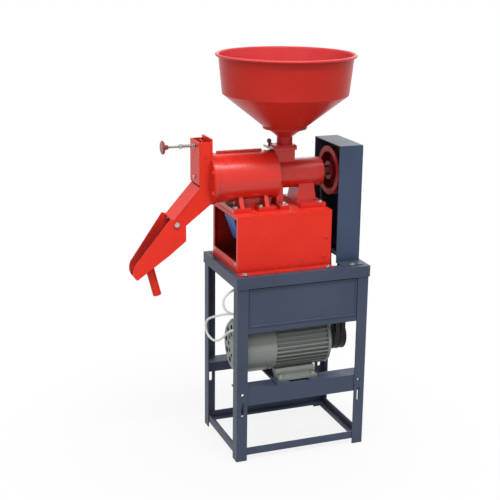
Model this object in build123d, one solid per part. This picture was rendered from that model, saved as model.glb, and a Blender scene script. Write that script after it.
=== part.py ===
"""Small rice huller: a milling barrel fed by a screw, on a welded stand with its motor below.

Millimetres. +X runs towards the belt guard, +Y to the back, +Z up. Each piece is drawn about the
middle of the stand on the floor; all of them are moved together at the end, so that the origin lies
on the floor under the middle of the whole machine.
"""
import os
from math import acos, atan2, cos, degrees, hypot, radians, sin, sqrt, tan

from build123d import *

# Fits and sheet gauges
RUNNING_GAP = 0.05      # radial, a shaft in its bearing or a pin in its hole
SEAT_GAP = 0.1          # radial, a turned piece on the shaft that carries it
SLIDE_GAP = 0.4         # between faces that pass each other
BOLT_PLAY = 0.5         # radial, a bolt in its hole
FACE_GAP = 0.05         # paint film under a bolt head, nut or flange
THIN_SHEET = 2.0
SHEET = 3.0

# Stand of welded angle iron
STAND_WIDTH = 402.0
STAND_DEPTH = 288.0
STAND_HEIGHT = 548.0
ANGLE = 32.0
LOW_ANGLE = 22.0
LOW_RAIL_Z = 16.0
MOTOR_ANGLE = 50.0
MOTOR_RAIL_TOP = 218.0
MOTOR_BAR_WIDTH = 40.0
MOTOR_BAR_HEIGHT = 6.0
APRON_BOTTOM = STAND_HEIGHT - 164.0
APRON_FOLD = 20.0
APRON_BEAD = 2.5
LEG_SLOT = (MOTOR_RAIL_TOP - 80.0, MOTOR_RAIL_TOP - 40.0)
LEG_SLOT_WIDTH = 9.0
LEG_HOLE_Z = MOTOR_RAIL_TOP - 15.0
FRAME_BOLT = 4.0
FRAME_BOLT_Y = STAND_DEPTH / 2 - 24.0

# Bran box under the mill
BOX_LEFT = 16.0 - STAND_WIDTH / 2
BOX_RIGHT = STAND_WIDTH / 2 - 106.0
BOX_DEPTH = STAND_DEPTH - 82.0
BOX_TOP = STAND_HEIGHT + 162.0
BOX_FLANGE = 22.0
BOX_SILL = 30.0
BOX_BORDER = 12.0
BOX_BOLT_X = (BOX_LEFT + 15.0, BOX_RIGHT - 17.0)
COLLAR_DEPTH = 26.0
FUNNEL_BOTTOM = STAND_HEIGHT + 70.0
FUNNEL_TAPER = 22.0
FUNNEL_SLEEVE = 6.0

# Belt guard and the pulleys inside it
GUARD_X = (STAND_WIDTH / 2 - 82.0, STAND_WIDTH / 2 - 11.0)
GUARD_Y = (-90.0, 78.0)
GUARD_FOOT = STAND_DEPTH / 2 - 16.0
GUARD_BOLT_X = GUARD_X[0] + 35.0
PULLEY_X = (GUARD_X[0] + 7.0, GUARD_X[0] + 45.0)
MILL_PULLEY_RADIUS = 70.0
MILL_PULLEY_RIM = 16.0
MILL_PULLEY_HUB = 26.0
MILL_PULLEY_WEB = (14.0, 6.0)   # its two faces from the right edge of the rim
MOTOR_PULLEY_RADIUS = 44.0
BELT_DEPTH_IN_RIM = 5.0     # from the rim to the middle of the belt
BELT_TOP = 12.4
BELT_BOTTOM = 8.0
BELT_HEIGHT = 8.0
BELT_SPACING = 18.0
GROOVE_GAP = 0.5

# Mill
MILL_AXIS = BOX_TOP + 90.0
GUARD_TOP = MILL_AXIS + 85.0
BARREL_LEFT = BOX_LEFT - 41.0
HOUSING_RIGHT = PULLEY_X[0] - 28.0
BARREL_RIGHT = HOUSING_RIGHT - 144.0
BARREL_RADIUS = 69.0
BARREL_WALL = 6.0
BARREL_FLANGE = 73.0
BARREL_FLANGE_WIDTH = 10.0
BRAN_HOLE_X = (BOX_LEFT + 17.0, BARREL_RIGHT - 20.0)
BRAN_HOLE_Y = 36.0
SADDLE_X = (BOX_LEFT + 27.0, BARREL_RIGHT - 38.0)
SADDLE_WIDTH = 52.0
SADDLE_WEB = 12.0
SADDLE_BOLT = 16.0      # from the middle of a saddle's web to its bolts
FOOT_HEIGHT = 13.0
FOOT_REACH = 66.0
FOOT_BOLT_Y = 52.0
COVER_X = (BARREL_LEFT + 14.0, BARREL_RIGHT - 34.0)
COVER_GAUGE = 3.5
COVER_RIDGE = 6.0
COVER_BOLT = 1.5
COVER_BOLT_X = (COVER_X[0] + ANGLE, sum(COVER_X) / 2, COVER_X[1] - ANGLE)
HOUSING_RADIUS = 41.0
NEAR_LEG_WIDTH = 20.0
NEAR_LEG_HALF = (40.0, 30.0)        # half depth at the foot and at the tube
NEAR_FOOT_WIDTH = 26.0
FAR_FOOT = (HOUSING_RIGHT - 82.0, HOUSING_RIGHT - 6.0)
FAR_LEG_X = HOUSING_RIGHT - 52.0
FAR_LEG_WIDTH = (58.0, 44.0)        # at the foot and at the tube
FAR_LEG_DEPTH = (74.0, 61.0)
FOOT_BOLT_X = (SADDLE_X[0] - SADDLE_BOLT, SADDLE_X[1] - SADDLE_BOLT, BARREL_RIGHT + NEAR_FOOT_WIDTH / 2,
               HOUSING_RIGHT - 19.0)
SCREW_BORE = 34.0
BEARING_BORE = 36.0
BEARING_X = (HOUSING_RIGHT - 48.0, HOUSING_RIGHT - 20.0)
BEARING_WIDTH = 17.0
SHAFT_RADIUS = 15.0
SHAFT_LEFT = BARREL_LEFT - 9.0
SHAFT_RIGHT = PULLEY_X[1] + 4.0
SCREW_LEFT = BARREL_RIGHT - BARREL_WALL - 1.5
SCREW_RIGHT = BEARING_X[0] - 6.0
SCREW_HUB = 20.0
SCREW_CLEARANCE = 1.0
SCREW_TURNS = 1.75
ROLLER_LEFT = BARREL_LEFT + 6.0
ROLLER_CORE = 36.0
ROLLER_RADIUS = 42.0
ROLLER_RIBS = 4
ROLLER_TWIST = 50.0
SIEVE_RADIUS = 53.5
SIEVE_GAUGE = 1.5
SIEVE_EDGE = 12.0       # degrees below the level of the axis
SIEVE_ARC = 120.0       # degrees that the rows of slots cover
SIEVE_ROWS = 7
SIEVE_COLUMNS = 5
KNIFE_GAP = 1.6
KNIFE_HEIGHT = 6.0

# Feed
HOPPER_X = BARREL_RIGHT + 36.0
HOPPER_RIM = 195.0
HOPPER_TOP = MILL_AXIS + 335.0
HOPPER_SHOULDER = (176.0, MILL_AXIS + 225.0)
HOPPER_FOOT = (61.0, MILL_AXIS + 131.0)
HOPPER_BEAD = 4.0
THROAT_TOP_RADIUS = 50.0
NECK_RADIUS = 22.0
NECK_TOP = MILL_AXIS + 106.0
SEAT_X = (HOPPER_X - 38.0, HOPPER_X + 26.0)
SEAT_DEPTH = 56.0
SEAT_Z = (MILL_AXIS + 70.0, MILL_AXIS + 76.0)
SEAT_BOLT = 2.0
SEAT_BOLT_INSET = 5.5
INLET_X = (HOPPER_X - 10.0, HOPPER_X + 20.0)
INLET_DEPTH = 34.0
GATE_GAUGE = 3.0
GATE_WIDTH = 38.0
GATE_LEFT = HOPPER_X - 56.0
GATE_STOP = 5.0         # from the end of the gate's slot to the end of the seat
GATE_KNOB = 6.5
GATE_KNOB_Z = MILL_AXIS + 95.0
GATE_TRAVEL = 32.0

# Outlet, pressure door and chutes
OUTLET_PLATE = 4.0
OUTLET_PLATE_X = BARREL_LEFT - BARREL_FLANGE_WIDTH - OUTLET_PLATE
OUTLET_PLATE_TOP = MILL_AXIS + 116.0
OUTLET_LEFT = OUTLET_PLATE_X - 31.0
OUTLET_WIDTH = 80.0
OUTLET_TOP = MILL_AXIS + 108.0
OUTLET_HOLE = 30.0
OUTLET_ELBOW_Z = MILL_AXIS - 15.0
OUTLET_BOLT = 3.0
OUTLET_BOLT_ANGLE = 25.0
COVER_PLATE_BOTTOM = MILL_AXIS - 10.0
COVER_PLATE_BOLT = (3.0, MILL_AXIS + 8.0)   # radius and height
TIE_HEIGHT = 16.0
CHUTE_SLOPE = 37.5
CHUTE_START = (OUTLET_PLATE_X, MILL_AXIS - 62.0)
CHUTE_LENGTH = 122.0
CHUTE_LID_END = (OUTLET_PLATE_X - 108.6, MILL_AXIS - 103.5)
CHUTE_WALL_GAP = 1.0
DOOR_X = OUTLET_PLATE_X - 14.0
DOOR_PIVOT_Z = MILL_AXIS + 70.0
DOOR_PIN = 4.0
DOOR_WIDTH = 66.0
DOOR_PAD = 36.0
DOOR_BOTTOM = MILL_AXIS - 42.0
DOOR_SWING = 7.0
PRESS_Z = MILL_AXIS + 93.0
PRESS_ROD = 3.0
PRESS_KNOB = 19.0
PRESS_KNOB_RIM = 6.0
PRESS_KNOB_HUB = (8.0, 18.0)        # its radius and length
PRESS_KNOB_X = OUTLET_LEFT - 95.0
GRIP_NOTCHES = 6
GRIP_NOTCH = 3.5
SPRING_COIL = 5.2
SPRING_WIRE = 1.0
SPRING_LENGTH = 38.0
SPRING_TURNS = 5
CHUTE_PIVOT = (OUTLET_PLATE_X - 100.0, MILL_AXIS - 112.0)
CHUTE_BOLT = 4.0
LOW_CHUTE_TOP = (-17.0, 16.0)       # this and the next six lie from the pivot
LOW_CHUTE_LIP = (-113.0, -111.0)
LOW_CHUTE_NOSE = (-117.5, -133.0)
LOW_CHUTE_TIP = (-109.0, -154.0)
LOW_CHUTE_HEEL = (27.0, -48.0)
LOW_CHUTE_BACK = (27.0, 2.0)
LOW_CHUTE_BEND = -20.0
LOW_CHUTE_NOSE_HALF = 25.0
LOW_CHUTE_BACK_PLATE = 10.0
SCREEN_LIFT = 13.0
SCREEN_GAUGE = 1.5
SCREEN_ROWS = 3
SCREEN_COLUMNS = 7
SPOUT_RADIUS = 12.0
SPOUT_TOP_X = CHUTE_PIVOT[0] - 68.0
SPOUT_END = (CHUTE_PIVOT[0] - 45.0, CHUTE_PIVOT[1] - 208.0)

# Motor
MOTOR_Y = 104.0 - STAND_DEPTH / 2
MOTOR_CENTRE_HEIGHT = 90.0
MOTOR_BELL_RIGHT = PULLEY_X[0] - 12.0
MOTOR_BODY_X = (MOTOR_BELL_RIGHT - 182.0, MOTOR_BELL_RIGHT - 22.0)
MOTOR_CORE = 70.0
MOTOR_FIN_RADIUS = 77.0
MOTOR_FINS = 36
MOTOR_FIN_WIDTH = 3.2
MOTOR_BORE = 46.0
ROTOR_CORE = 44.0
BELL_RIM = 8.0
BELL_STEP = (17.0, 14.0)
BELL_NOSE = 30.0
COWL_LEFT = MOTOR_BODY_X[0] - 107.0
COWL_RADIUS = 78.5
COWL_BEVEL = 9.0
COWL_HOLES = 10
COWL_HOLE_RINGS = ((0.42, 6.0), (0.68, 8.5))    # share of the cowl's radius, radius of the holes
MOTOR_SHAFT = 12.0
MOTOR_FOOT_X = (MOTOR_BODY_X[0] + 2.0, MOTOR_BODY_X[0] + 122.0)
MOTOR_FOOT_SPAN = 140.0
MOTOR_FOOT_PITCH = 100.0
MOTOR_FOOT_HEIGHT = 8.0
MOTOR_FOOT_TOE = 16.0       # past the bolt
MOTOR_FOOT_LEDGE = 27.0     # height of the step above the foot
FAN_X = (MOTOR_BODY_X[0] - 56.0, MOTOR_BODY_X[0] - 30.0)
FAN_RADIUS = 60.0
FAN_HUB = 20.0
FAN_BLADES = 6
TERMINAL_X = (MOTOR_BODY_X[0] + 13.0, MOTOR_BODY_X[0] + 113.0)
TERMINAL_Y = (MOTOR_Y - 48.0, MOTOR_Y + 44.0)
TERMINAL_HEIGHT = 40.0
TERMINAL_LID = 4.0

# Mains lead
LEAD_RADIUS = 3.3
LEAD_Y = MOTOR_Y - 18.0
COIL_TURNS_WIDE = 2
COIL_TURNS_HIGH = 2
COIL_MIDDLE_RADIUS = 36.0
COIL_ENTRY = 30.0       # degrees from the left, where the lead joins the coil
GLAND_LENGTH = 36.0
GLAND_NUT = (11.0, 10.0)        # radius and length
GLAND_SLEEVE = 8.5
PLUG_OFFSET = (13.0, -24.0)     # the plug's body from the middle of the coil
PLUG_LENGTH = (26.0, 34.0)
PLUG_HALF_WIDTH = (13.0, 16.0)
PLUG_HEIGHT = 20.0
PLUG_TAIL = 22.0
PLUG_PIN = (17.0, 6.0, 2.0)
PLUG_PIN_Y = 8.0
LEAD_POINTS = (
    (-150.0, -58.0, 414.0), (-194.0, -38.0, 413.0), (-207.0, 28.0, 385.0), (-218.0, 74.0, 360.0),
    (-217.0, 74.0, 314.0), (-206.0, 36.0, 298.0), (-196.0, -4.0, 324.0), (-187.0, -50.0, 368.0),
    (-178.0, -90.0, 378.0), (-178.0, -100.0, 426.0), (-221.0, -92.0, 442.0), (-222.0, -87.0, 484.0),
    (-172.0, -80.0, 504.0), (-112.0, -74.0, 491.0), (-66.0, -66.0, 463.0))

RAIL_Z = STAND_HEIGHT - SHEET
LEG_X = STAND_WIDTH / 2 - SHEET
LEG_Y = STAND_DEPTH / 2 - SHEET
INSIDE_X = LEG_X - SHEET
INSIDE_Y = LEG_Y - SHEET
MOTOR_FOOT_Z = MOTOR_RAIL_TOP + MOTOR_BAR_HEIGHT
MOTOR_AXIS = MOTOR_FOOT_Z + MOTOR_CENTRE_HEIGHT
MOTOR_FOOT_MIDDLE = sum(MOTOR_FOOT_X) / 2
MOTOR_BOLT_X = (MOTOR_FOOT_MIDDLE - MOTOR_FOOT_PITCH / 2, MOTOR_FOOT_MIDDLE + MOTOR_FOOT_PITCH / 2)
MOTOR_BOLT_Y = (MOTOR_Y - MOTOR_FOOT_SPAN / 2, MOTOR_Y + MOTOR_FOOT_SPAN / 2)
TERMINAL_Z = MOTOR_AXIS + MOTOR_FIN_RADIUS + SHEET
BELT_X = [sum(PULLEY_X) / 2 - BELT_SPACING / 2, sum(PULLEY_X) / 2 + BELT_SPACING / 2]


def block(x, y, z):
    middle = [(a + b) / 2 for a, b in (x, y, z)]
    size = [abs(b - a) for a, b in (x, y, z)]
    return Pos(*middle) * Box(*size)


def x_rod(radius, x, y, z):
    return Pos(sum(x) / 2, y, z) * Rot(0, 90, 0) * Cylinder(radius, abs(x[1] - x[0]))


def y_rod(radius, y, x, z):
    return Pos(x, sum(y) / 2, z) * Rot(90, 0, 0) * Cylinder(radius, abs(y[1] - y[0]))


def z_rod(radius, z, x, y):
    return Pos(x, y, sum(z) / 2) * Cylinder(radius, abs(z[1] - z[0]))


def outline_xz(points, y):
    face = make_face(Polyline(*[(a, max(y), b) for a, b in points], close=True))
    return extrude(face, amount=abs(y[1] - y[0]), dir=(0, -1, 0))


def outline_yz(points, x):
    face = make_face(Polyline(*[(min(x), a, b) for a, b in points], close=True))
    return extrude(face, amount=abs(x[1] - x[0]), dir=(1, 0, 0))


def outline_xy(points, z):
    face = make_face(Polyline(*[(a, b, min(z)) for a, b in points], close=True))
    return extrude(face, amount=abs(z[1] - z[0]), dir=(0, 0, 1))


def turned_x(points, y, z):
    face = make_face(Polyline(*[(a, y, z + r) for a, r in points], close=True))
    return revolve(face, axis=Axis((0, y, z), (1, 0, 0)))


def turned_z(points, x, y):
    face = make_face(Polyline(*[(x + r, y, b) for r, b in points], close=True))
    return revolve(face, axis=Axis((x, y, 0), (0, 0, 1)))


def hexagon_bolt(radius, grip):
    """A bolt with its nut: the head's seat at z = 0, the nut's seat at z = -grip."""
    nut_seat = -grip - FACE_GAP
    head = Pos(0, 0, FACE_GAP) * extrude(RegularPolygon(radius * 1.85, 6), amount=radius * 1.3)
    nut = Pos(0, 0, nut_seat) * extrude(RegularPolygon(radius * 1.85, 6), amount=-radius * 1.6)
    shank = z_rod(radius, (nut_seat - radius * 2.2, radius), 0, 0)
    return head + nut + shank


def stud(radius, length):
    """A bolt screwed into a tapped hole: the head's seat at z = 0."""
    head = Pos(0, 0, FACE_GAP) * extrude(RegularPolygon(radius * 1.85, 6), amount=radius * 1.3)
    return head + z_rod(radius, (-length, radius), 0, 0)


def along_slope(start, slope, distance, lift):
    """A point on a chute that runs down to the left: distance along its floor, lift square to it."""
    a = radians(slope)
    return (start[0] - distance * cos(a) - lift * sin(a), start[1] - distance * sin(a) + lift * cos(a))


def leg_hole_x(side):
    return side * (LEG_X - (ANGLE + SHEET) / 2)


def leg(side_x, side_y):
    x, y = side_x * LEG_X, side_y * LEG_Y
    front = block((x, x - side_x * ANGLE), (y, y - side_y * SHEET), (0, RAIL_Z))
    side = block((x, x - side_x * SHEET), (y, y - side_y * ANGLE), (0, RAIL_Z))
    hole_x = leg_hole_x(side_x)
    ends = [z + s * LEG_SLOT_WIDTH / 2 for z, s in zip(LEG_SLOT, (1, -1))]
    slot = block((hole_x - LEG_SLOT_WIDTH / 2, hole_x + LEG_SLOT_WIDTH / 2), (y - ANGLE, y + ANGLE), ends)
    for z in (*ends, LEG_HOLE_Z):
        slot += y_rod(LEG_SLOT_WIDTH / 2, (y - ANGLE, y + ANGLE), hole_x, z)
    return (front - slot) + side


def top_rail_long(side):
    y = side * STAND_DEPTH / 2
    x = STAND_WIDTH / 2
    upright = block((-x, x), (y, y - side * SHEET), (STAND_HEIGHT - ANGLE, STAND_HEIGHT))
    flat = block((-x, x), (y, y - side * ANGLE), (RAIL_Z, STAND_HEIGHT))
    inner = y - side * ANGLE
    plan = [(-x, y), (x, y), (x - ANGLE, inner), (-x + ANGLE, inner)]
    rail = (upright + flat) & outline_xy(plan, (STAND_HEIGHT - ANGLE, STAND_HEIGHT))
    for hole_x in (*BOX_BOLT_X, GUARD_BOLT_X):
        rail -= z_rod(FRAME_BOLT + BOLT_PLAY, (RAIL_Z - SHEET, STAND_HEIGHT + SHEET), hole_x,
                      side * FRAME_BOLT_Y)
    return rail


def top_rail_short(side):
    x = side * STAND_WIDTH / 2
    y = STAND_DEPTH / 2
    upright = block((x, x - side * SHEET), (-y, y), (STAND_HEIGHT - ANGLE, STAND_HEIGHT))
    flat = block((x, x - side * ANGLE), (-y, y), (RAIL_Z, STAND_HEIGHT))
    inner = x - side * ANGLE
    plan = [(x, -y), (x, y), (inner, y - ANGLE), (inner, -y + ANGLE)]
    return (upright + flat) & outline_xy(plan, (STAND_HEIGHT - ANGLE, STAND_HEIGHT))


def low_rail_long(side):
    y = side * INSIDE_Y
    upright = block((-INSIDE_X, INSIDE_X), (y, y - side * SHEET), (LOW_RAIL_Z, LOW_RAIL_Z + LOW_ANGLE))
    flat = block((-INSIDE_X, INSIDE_X), (y, y - side * LOW_ANGLE), (LOW_RAIL_Z, LOW_RAIL_Z + SHEET))
    return upright + flat


def low_rail_short(side):
    x = side * INSIDE_X
    y = INSIDE_Y - LOW_ANGLE
    upright = block((x, x - side * SHEET), (-y, y), (LOW_RAIL_Z, LOW_RAIL_Z + LOW_ANGLE))
    flat = block((x, x - side * LOW_ANGLE), (-y, y), (LOW_RAIL_Z, LOW_RAIL_Z + SHEET))
    return upright + flat


def motor_bar_bolt_y():
    return INSIDE_Y - MOTOR_ANGLE / 2


def motor_rail(side):
    y = side * INSIDE_Y
    upright = block((-INSIDE_X, INSIDE_X), (y, y - side * SHEET),
                    (MOTOR_RAIL_TOP - MOTOR_ANGLE, MOTOR_RAIL_TOP))
    flat = block((-INSIDE_X, INSIDE_X), (y, y - side * MOTOR_ANGLE),
                 (MOTOR_RAIL_TOP - SHEET, MOTOR_RAIL_TOP))
    rail = upright + flat
    for end in (-1, 1):
        rail -= y_rod(LEG_SLOT_WIDTH / 2, (y - SHEET, y + SHEET), leg_hole_x(end), LEG_HOLE_Z)
    hole_y = MOTOR_BOLT_Y[0] if side < 0 else motor_bar_bolt_y()
    for x in MOTOR_BOLT_X:
        rail -= z_rod(FRAME_BOLT + BOLT_PLAY, (MOTOR_RAIL_TOP - 2 * SHEET, MOTOR_RAIL_TOP + SHEET), x, hole_y)
    return rail


def motor_bars():
    bars = []
    for x in MOTOR_BOLT_X:
        bar = block((x - MOTOR_BAR_WIDTH / 2, x + MOTOR_BAR_WIDTH / 2), (-INSIDE_Y, INSIDE_Y),
                    (MOTOR_RAIL_TOP, MOTOR_FOOT_Z))
        for y in (*MOTOR_BOLT_Y, motor_bar_bolt_y()):
            bar -= z_rod(FRAME_BOLT + BOLT_PLAY, (MOTOR_RAIL_TOP - SHEET, MOTOR_FOOT_Z + SHEET), x, y)
        bars.append(bar)
    return bars


def apron_panel():
    x = INSIDE_X - SLIDE_GAP
    y = -INSIDE_Y
    panel = block((-x, x), (y, y + THIN_SHEET), (APRON_BOTTOM, RAIL_Z))
    fold = block((-x, x), (y, y + APRON_FOLD), (APRON_BOTTOM, APRON_BOTTOM + THIN_SHEET))
    bead_x = LEG_X - ANGLE - 2 * APRON_BEAD
    bead_low = APRON_BOTTOM + APRON_FOLD
    bead_high = STAND_HEIGHT - ANGLE - 2 * APRON_BEAD
    beads = []
    for z in (bead_low, bead_high):
        beads.append(x_rod(APRON_BEAD, (-bead_x, bead_x), y, z))
    for side in (-1, 1):
        beads.append(z_rod(APRON_BEAD, (bead_low, bead_high), side * bead_x, y))
        for z in (bead_low, bead_high):
            beads.append(Pos(side * bead_x, y, z) * Sphere(APRON_BEAD))
    behind = block((-x, x), (y + THIN_SHEET, y + APRON_FOLD), (bead_low - ANGLE / 2, RAIL_Z))
    return panel + fold + beads - behind


def collar_bottom():
    return BOX_TOP - SHEET - COLLAR_DEPTH


def bran_box():
    y = BOX_DEPTH / 2
    box = block((BOX_LEFT, BOX_RIGHT), (-y, y), (STAND_HEIGHT, BOX_TOP))
    inside = block((BOX_LEFT + SHEET, BOX_RIGHT - SHEET), (SHEET - y, y - SHEET),
                   (STAND_HEIGHT + SHEET, BOX_TOP - SHEET))
    mouth = block((BOX_LEFT - SHEET, BOX_LEFT + 2 * SHEET), (BOX_BORDER - y, y - BOX_BORDER),
                  (STAND_HEIGHT + BOX_SILL, BOX_TOP - BOX_BORDER))
    collar_x = (BRAN_HOLE_X[0] - THIN_SHEET, BRAN_HOLE_X[1] + THIN_SHEET)
    collar_y = BRAN_HOLE_Y + THIN_SHEET
    collar = block(collar_x, (-collar_y, collar_y), (collar_bottom(), BOX_TOP - SHEET))
    bran_hole = block(BRAN_HOLE_X, (-BRAN_HOLE_Y, BRAN_HOLE_Y), (collar_bottom() - SHEET, BOX_TOP + SHEET))
    box = box - inside - mouth + collar - bran_hole
    for side in (-1, 1):
        box += block((BOX_LEFT, BOX_RIGHT), (side * (y - SHEET), side * (y + BOX_FLANGE)),
                     (STAND_HEIGHT, STAND_HEIGHT + SHEET))
        for x in BOX_BOLT_X:
            box -= z_rod(FRAME_BOLT + BOLT_PLAY, (STAND_HEIGHT - SHEET, STAND_HEIGHT + 2 * SHEET), x,
                         side * FRAME_BOLT_Y)
        for x in FOOT_BOLT_X:
            box -= z_rod(FRAME_BOLT + BOLT_PLAY, (BOX_TOP - 2 * SHEET, BOX_TOP + SHEET), x, side * FOOT_BOLT_Y)
    return box


def bran_funnel():
    """A tapered chute pushed over the collar under the mill."""
    low = collar_bottom() - SEAT_GAP
    grip = THIN_SHEET + SEAT_GAP
    x0, x1 = BRAN_HOLE_X[0] - grip, BRAN_HOLE_X[1] + grip
    y1 = BRAN_HOLE_Y + grip

    def tapered(grow):
        upper = Pos((x0 + x1) / 2, 0, low) * Rectangle(x1 - x0 + 2 * grow, 2 * (y1 + grow))
        lower = Pos((x0 + x1) / 2, 0, FUNNEL_BOTTOM) * Rectangle(
            x1 - x0 - 2 * FUNNEL_TAPER + 2 * grow, 2 * (y1 - FUNNEL_TAPER / 2 + grow))
        sleeve = block((x0 - grow, x1 + grow), (-y1 - grow, y1 + grow), (low, low + FUNNEL_SLEEVE))
        return loft([lower, upper]) + sleeve

    return tapered(THIN_SHEET) - tapered(0)


def frame_bolts():
    bolts = []
    for side in (-1, 1):
        for x in BOX_BOLT_X:
            bolts.append(Pos(x, side * FRAME_BOLT_Y, STAND_HEIGHT + SHEET)
                         * hexagon_bolt(FRAME_BOLT, 2 * SHEET))
        bolts.append(Pos(GUARD_BOLT_X, side * FRAME_BOLT_Y, STAND_HEIGHT + THIN_SHEET)
                     * hexagon_bolt(FRAME_BOLT, SHEET + THIN_SHEET))
    for x in MOTOR_BOLT_X:
        bolts.append(Pos(x, motor_bar_bolt_y(), MOTOR_FOOT_Z)
                     * hexagon_bolt(FRAME_BOLT, MOTOR_BAR_HEIGHT + SHEET))
    return bolts


def mounting_foot(x):
    return block(x, (-FOOT_REACH, FOOT_REACH), (BOX_TOP, BOX_TOP + FOOT_HEIGHT))


def foot_hole(x, side):
    z = (BOX_TOP - FOOT_HEIGHT, BOX_TOP + 2 * FOOT_HEIGHT)
    return z_rod(FRAME_BOLT + BOLT_PLAY, z, x, side * FOOT_BOLT_Y)


def cover_cut(radius, grow):
    """The quarter of the barrel, behind the top, that the removable cover closes."""
    x = (COVER_X[0] - grow, COVER_X[1] + grow)
    quarter = block(x, (0, BARREL_FLANGE), (MILL_AXIS, MILL_AXIS + BARREL_FLANGE))
    return quarter & x_rod(radius, x, 0, MILL_AXIS)


def cover_bolt_points():
    ridge = MILL_AXIS + BARREL_RADIUS + COVER_RIDGE / 2
    return [(x, ridge) for x in COVER_BOLT_X]


def milling_barrel():
    top = MILL_AXIS + BARREL_RADIUS
    foot_top = BOX_TOP + FOOT_HEIGHT
    skirt_x = (BRAN_HOLE_X[0] - SHEET, BRAN_HOLE_X[1] + SHEET)
    skirt_y = BRAN_HOLE_Y + SHEET
    barrel = x_rod(BARREL_RADIUS, (BARREL_LEFT, BARREL_RIGHT), 0, MILL_AXIS)
    barrel += x_rod(BARREL_FLANGE, (BARREL_LEFT - BARREL_FLANGE_WIDTH, BARREL_LEFT), 0, MILL_AXIS)
    barrel += block(skirt_x, (-skirt_y, skirt_y), (BOX_TOP, MILL_AXIS - skirt_y))
    reach_y, reach_z = BARREL_RADIUS * 0.72, MILL_AXIS - BARREL_RADIUS * 0.66
    web = [(-FOOT_REACH, foot_top), (FOOT_REACH, foot_top), (reach_y, reach_z), (-reach_y, reach_z)]
    for x in SADDLE_X:
        barrel += mounting_foot((x - SADDLE_WIDTH / 2, x + SADDLE_WIDTH / 2))
        barrel += outline_yz(web, (x - SADDLE_WEB / 2, x + SADDLE_WEB / 2))
    barrel += block(COVER_X, (-COVER_GAUGE, 0), (top - BARREL_WALL / 2, top + COVER_RIDGE))
    bore_x = (BARREL_LEFT - 2 * BARREL_FLANGE_WIDTH, BARREL_RIGHT - BARREL_WALL)
    barrel -= x_rod(BARREL_RADIUS - BARREL_WALL, bore_x, 0, MILL_AXIS)
    barrel -= x_rod(SCREW_BORE, (BARREL_RIGHT - 2 * BARREL_WALL, BARREL_RIGHT + BARREL_WALL), 0, MILL_AXIS)
    barrel -= block(BRAN_HOLE_X, (-BRAN_HOLE_Y, BRAN_HOLE_Y), (BOX_TOP - SHEET, MILL_AXIS - BRAN_HOLE_Y))
    barrel -= cover_cut(BARREL_FLANGE, 0)
    for x in FOOT_BOLT_X[:2]:
        for side in (-1, 1):
            barrel -= foot_hole(x, side)
    for x, z in cover_bolt_points():
        barrel -= y_rod(COVER_BOLT + BOLT_PLAY, (-BARREL_WALL, BARREL_WALL), x, z)
    for y, z in outlet_bolt_points():
        barrel -= x_rod(OUTLET_BOLT + BOLT_PLAY, (BARREL_LEFT - 2 * BARREL_FLANGE_WIDTH, BARREL_LEFT), y, z)
    return barrel


def barrel_cover():
    top = MILL_AXIS + BARREL_RADIUS
    skin = cover_cut(BARREL_RADIUS, -SEAT_GAP) - x_rod(BARREL_RADIUS - COVER_GAUGE, COVER_X, 0, MILL_AXIS)
    ridge = block((COVER_X[0] + SLIDE_GAP, COVER_X[1] - SLIDE_GAP), (0, COVER_GAUGE),
                  (top - COVER_GAUGE, top + COVER_RIDGE))
    cover = skin + ridge
    for x, z in cover_bolt_points():
        cover -= y_rod(COVER_BOLT + BOLT_PLAY, (-BARREL_WALL, BARREL_WALL), x, z)
    return cover


def screw_housing():
    tube = x_rod(HOUSING_RADIUS, (BARREL_RIGHT, HOUSING_RIGHT), 0, MILL_AXIS)
    inlet_x = (BARREL_RIGHT, INLET_X[1] + OUTLET_PLATE)
    tube += block(inlet_x, (-INLET_DEPTH / 2 - SHEET, INLET_DEPTH / 2 + SHEET), (MILL_AXIS, SEAT_Z[0]))
    tube += block(SEAT_X, (-SEAT_DEPTH / 2, SEAT_DEPTH / 2), SEAT_Z)
    wide, narrow = NEAR_LEG_HALF
    near_leg = [(-wide, BOX_TOP), (wide, BOX_TOP), (narrow, MILL_AXIS), (-narrow, MILL_AXIS)]
    tube += outline_yz(near_leg, (BARREL_RIGHT, BARREL_RIGHT + NEAR_LEG_WIDTH))
    tube += mounting_foot((BARREL_RIGHT, BARREL_RIGHT + NEAR_FOOT_WIDTH))
    ankle = Pos(FAR_LEG_X, 0, BOX_TOP + FOOT_HEIGHT) * Rectangle(FAR_LEG_WIDTH[0], FAR_LEG_DEPTH[0])
    shin = Pos(FAR_LEG_X, 0, MILL_AXIS - HOUSING_RADIUS / 2) * Rectangle(FAR_LEG_WIDTH[1], FAR_LEG_DEPTH[1])
    tube += loft([ankle, shin])
    tube += mounting_foot(FAR_FOOT)
    tube -= x_rod(SCREW_BORE, (BARREL_RIGHT - SHEET, HOUSING_RIGHT), 0, MILL_AXIS)
    tube -= x_rod(BEARING_BORE, (BEARING_X[0] - SLIDE_GAP, HOUSING_RIGHT + SHEET), 0, MILL_AXIS)
    tube -= block(INLET_X, (-INLET_DEPTH / 2, INLET_DEPTH / 2), (MILL_AXIS, SEAT_Z[1] + SHEET))
    for x in FOOT_BOLT_X[2:]:
        for side in (-1, 1):
            tube -= foot_hole(x, side)
    for x, y in seat_bolt_points():
        tube -= z_rod(SEAT_BOLT + BOLT_PLAY, (SEAT_Z[0] - SHEET, SEAT_Z[1] + SHEET), x, y)
    return tube


def seat_bolt_points():
    y = SEAT_DEPTH / 2 - SEAT_BOLT_INSET
    ends = (SEAT_X[0] + SEAT_BOLT_INSET, SEAT_X[1] - SEAT_BOLT_INSET)
    return [(x, side * y) for x in ends for side in (-1, 1)]


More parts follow.
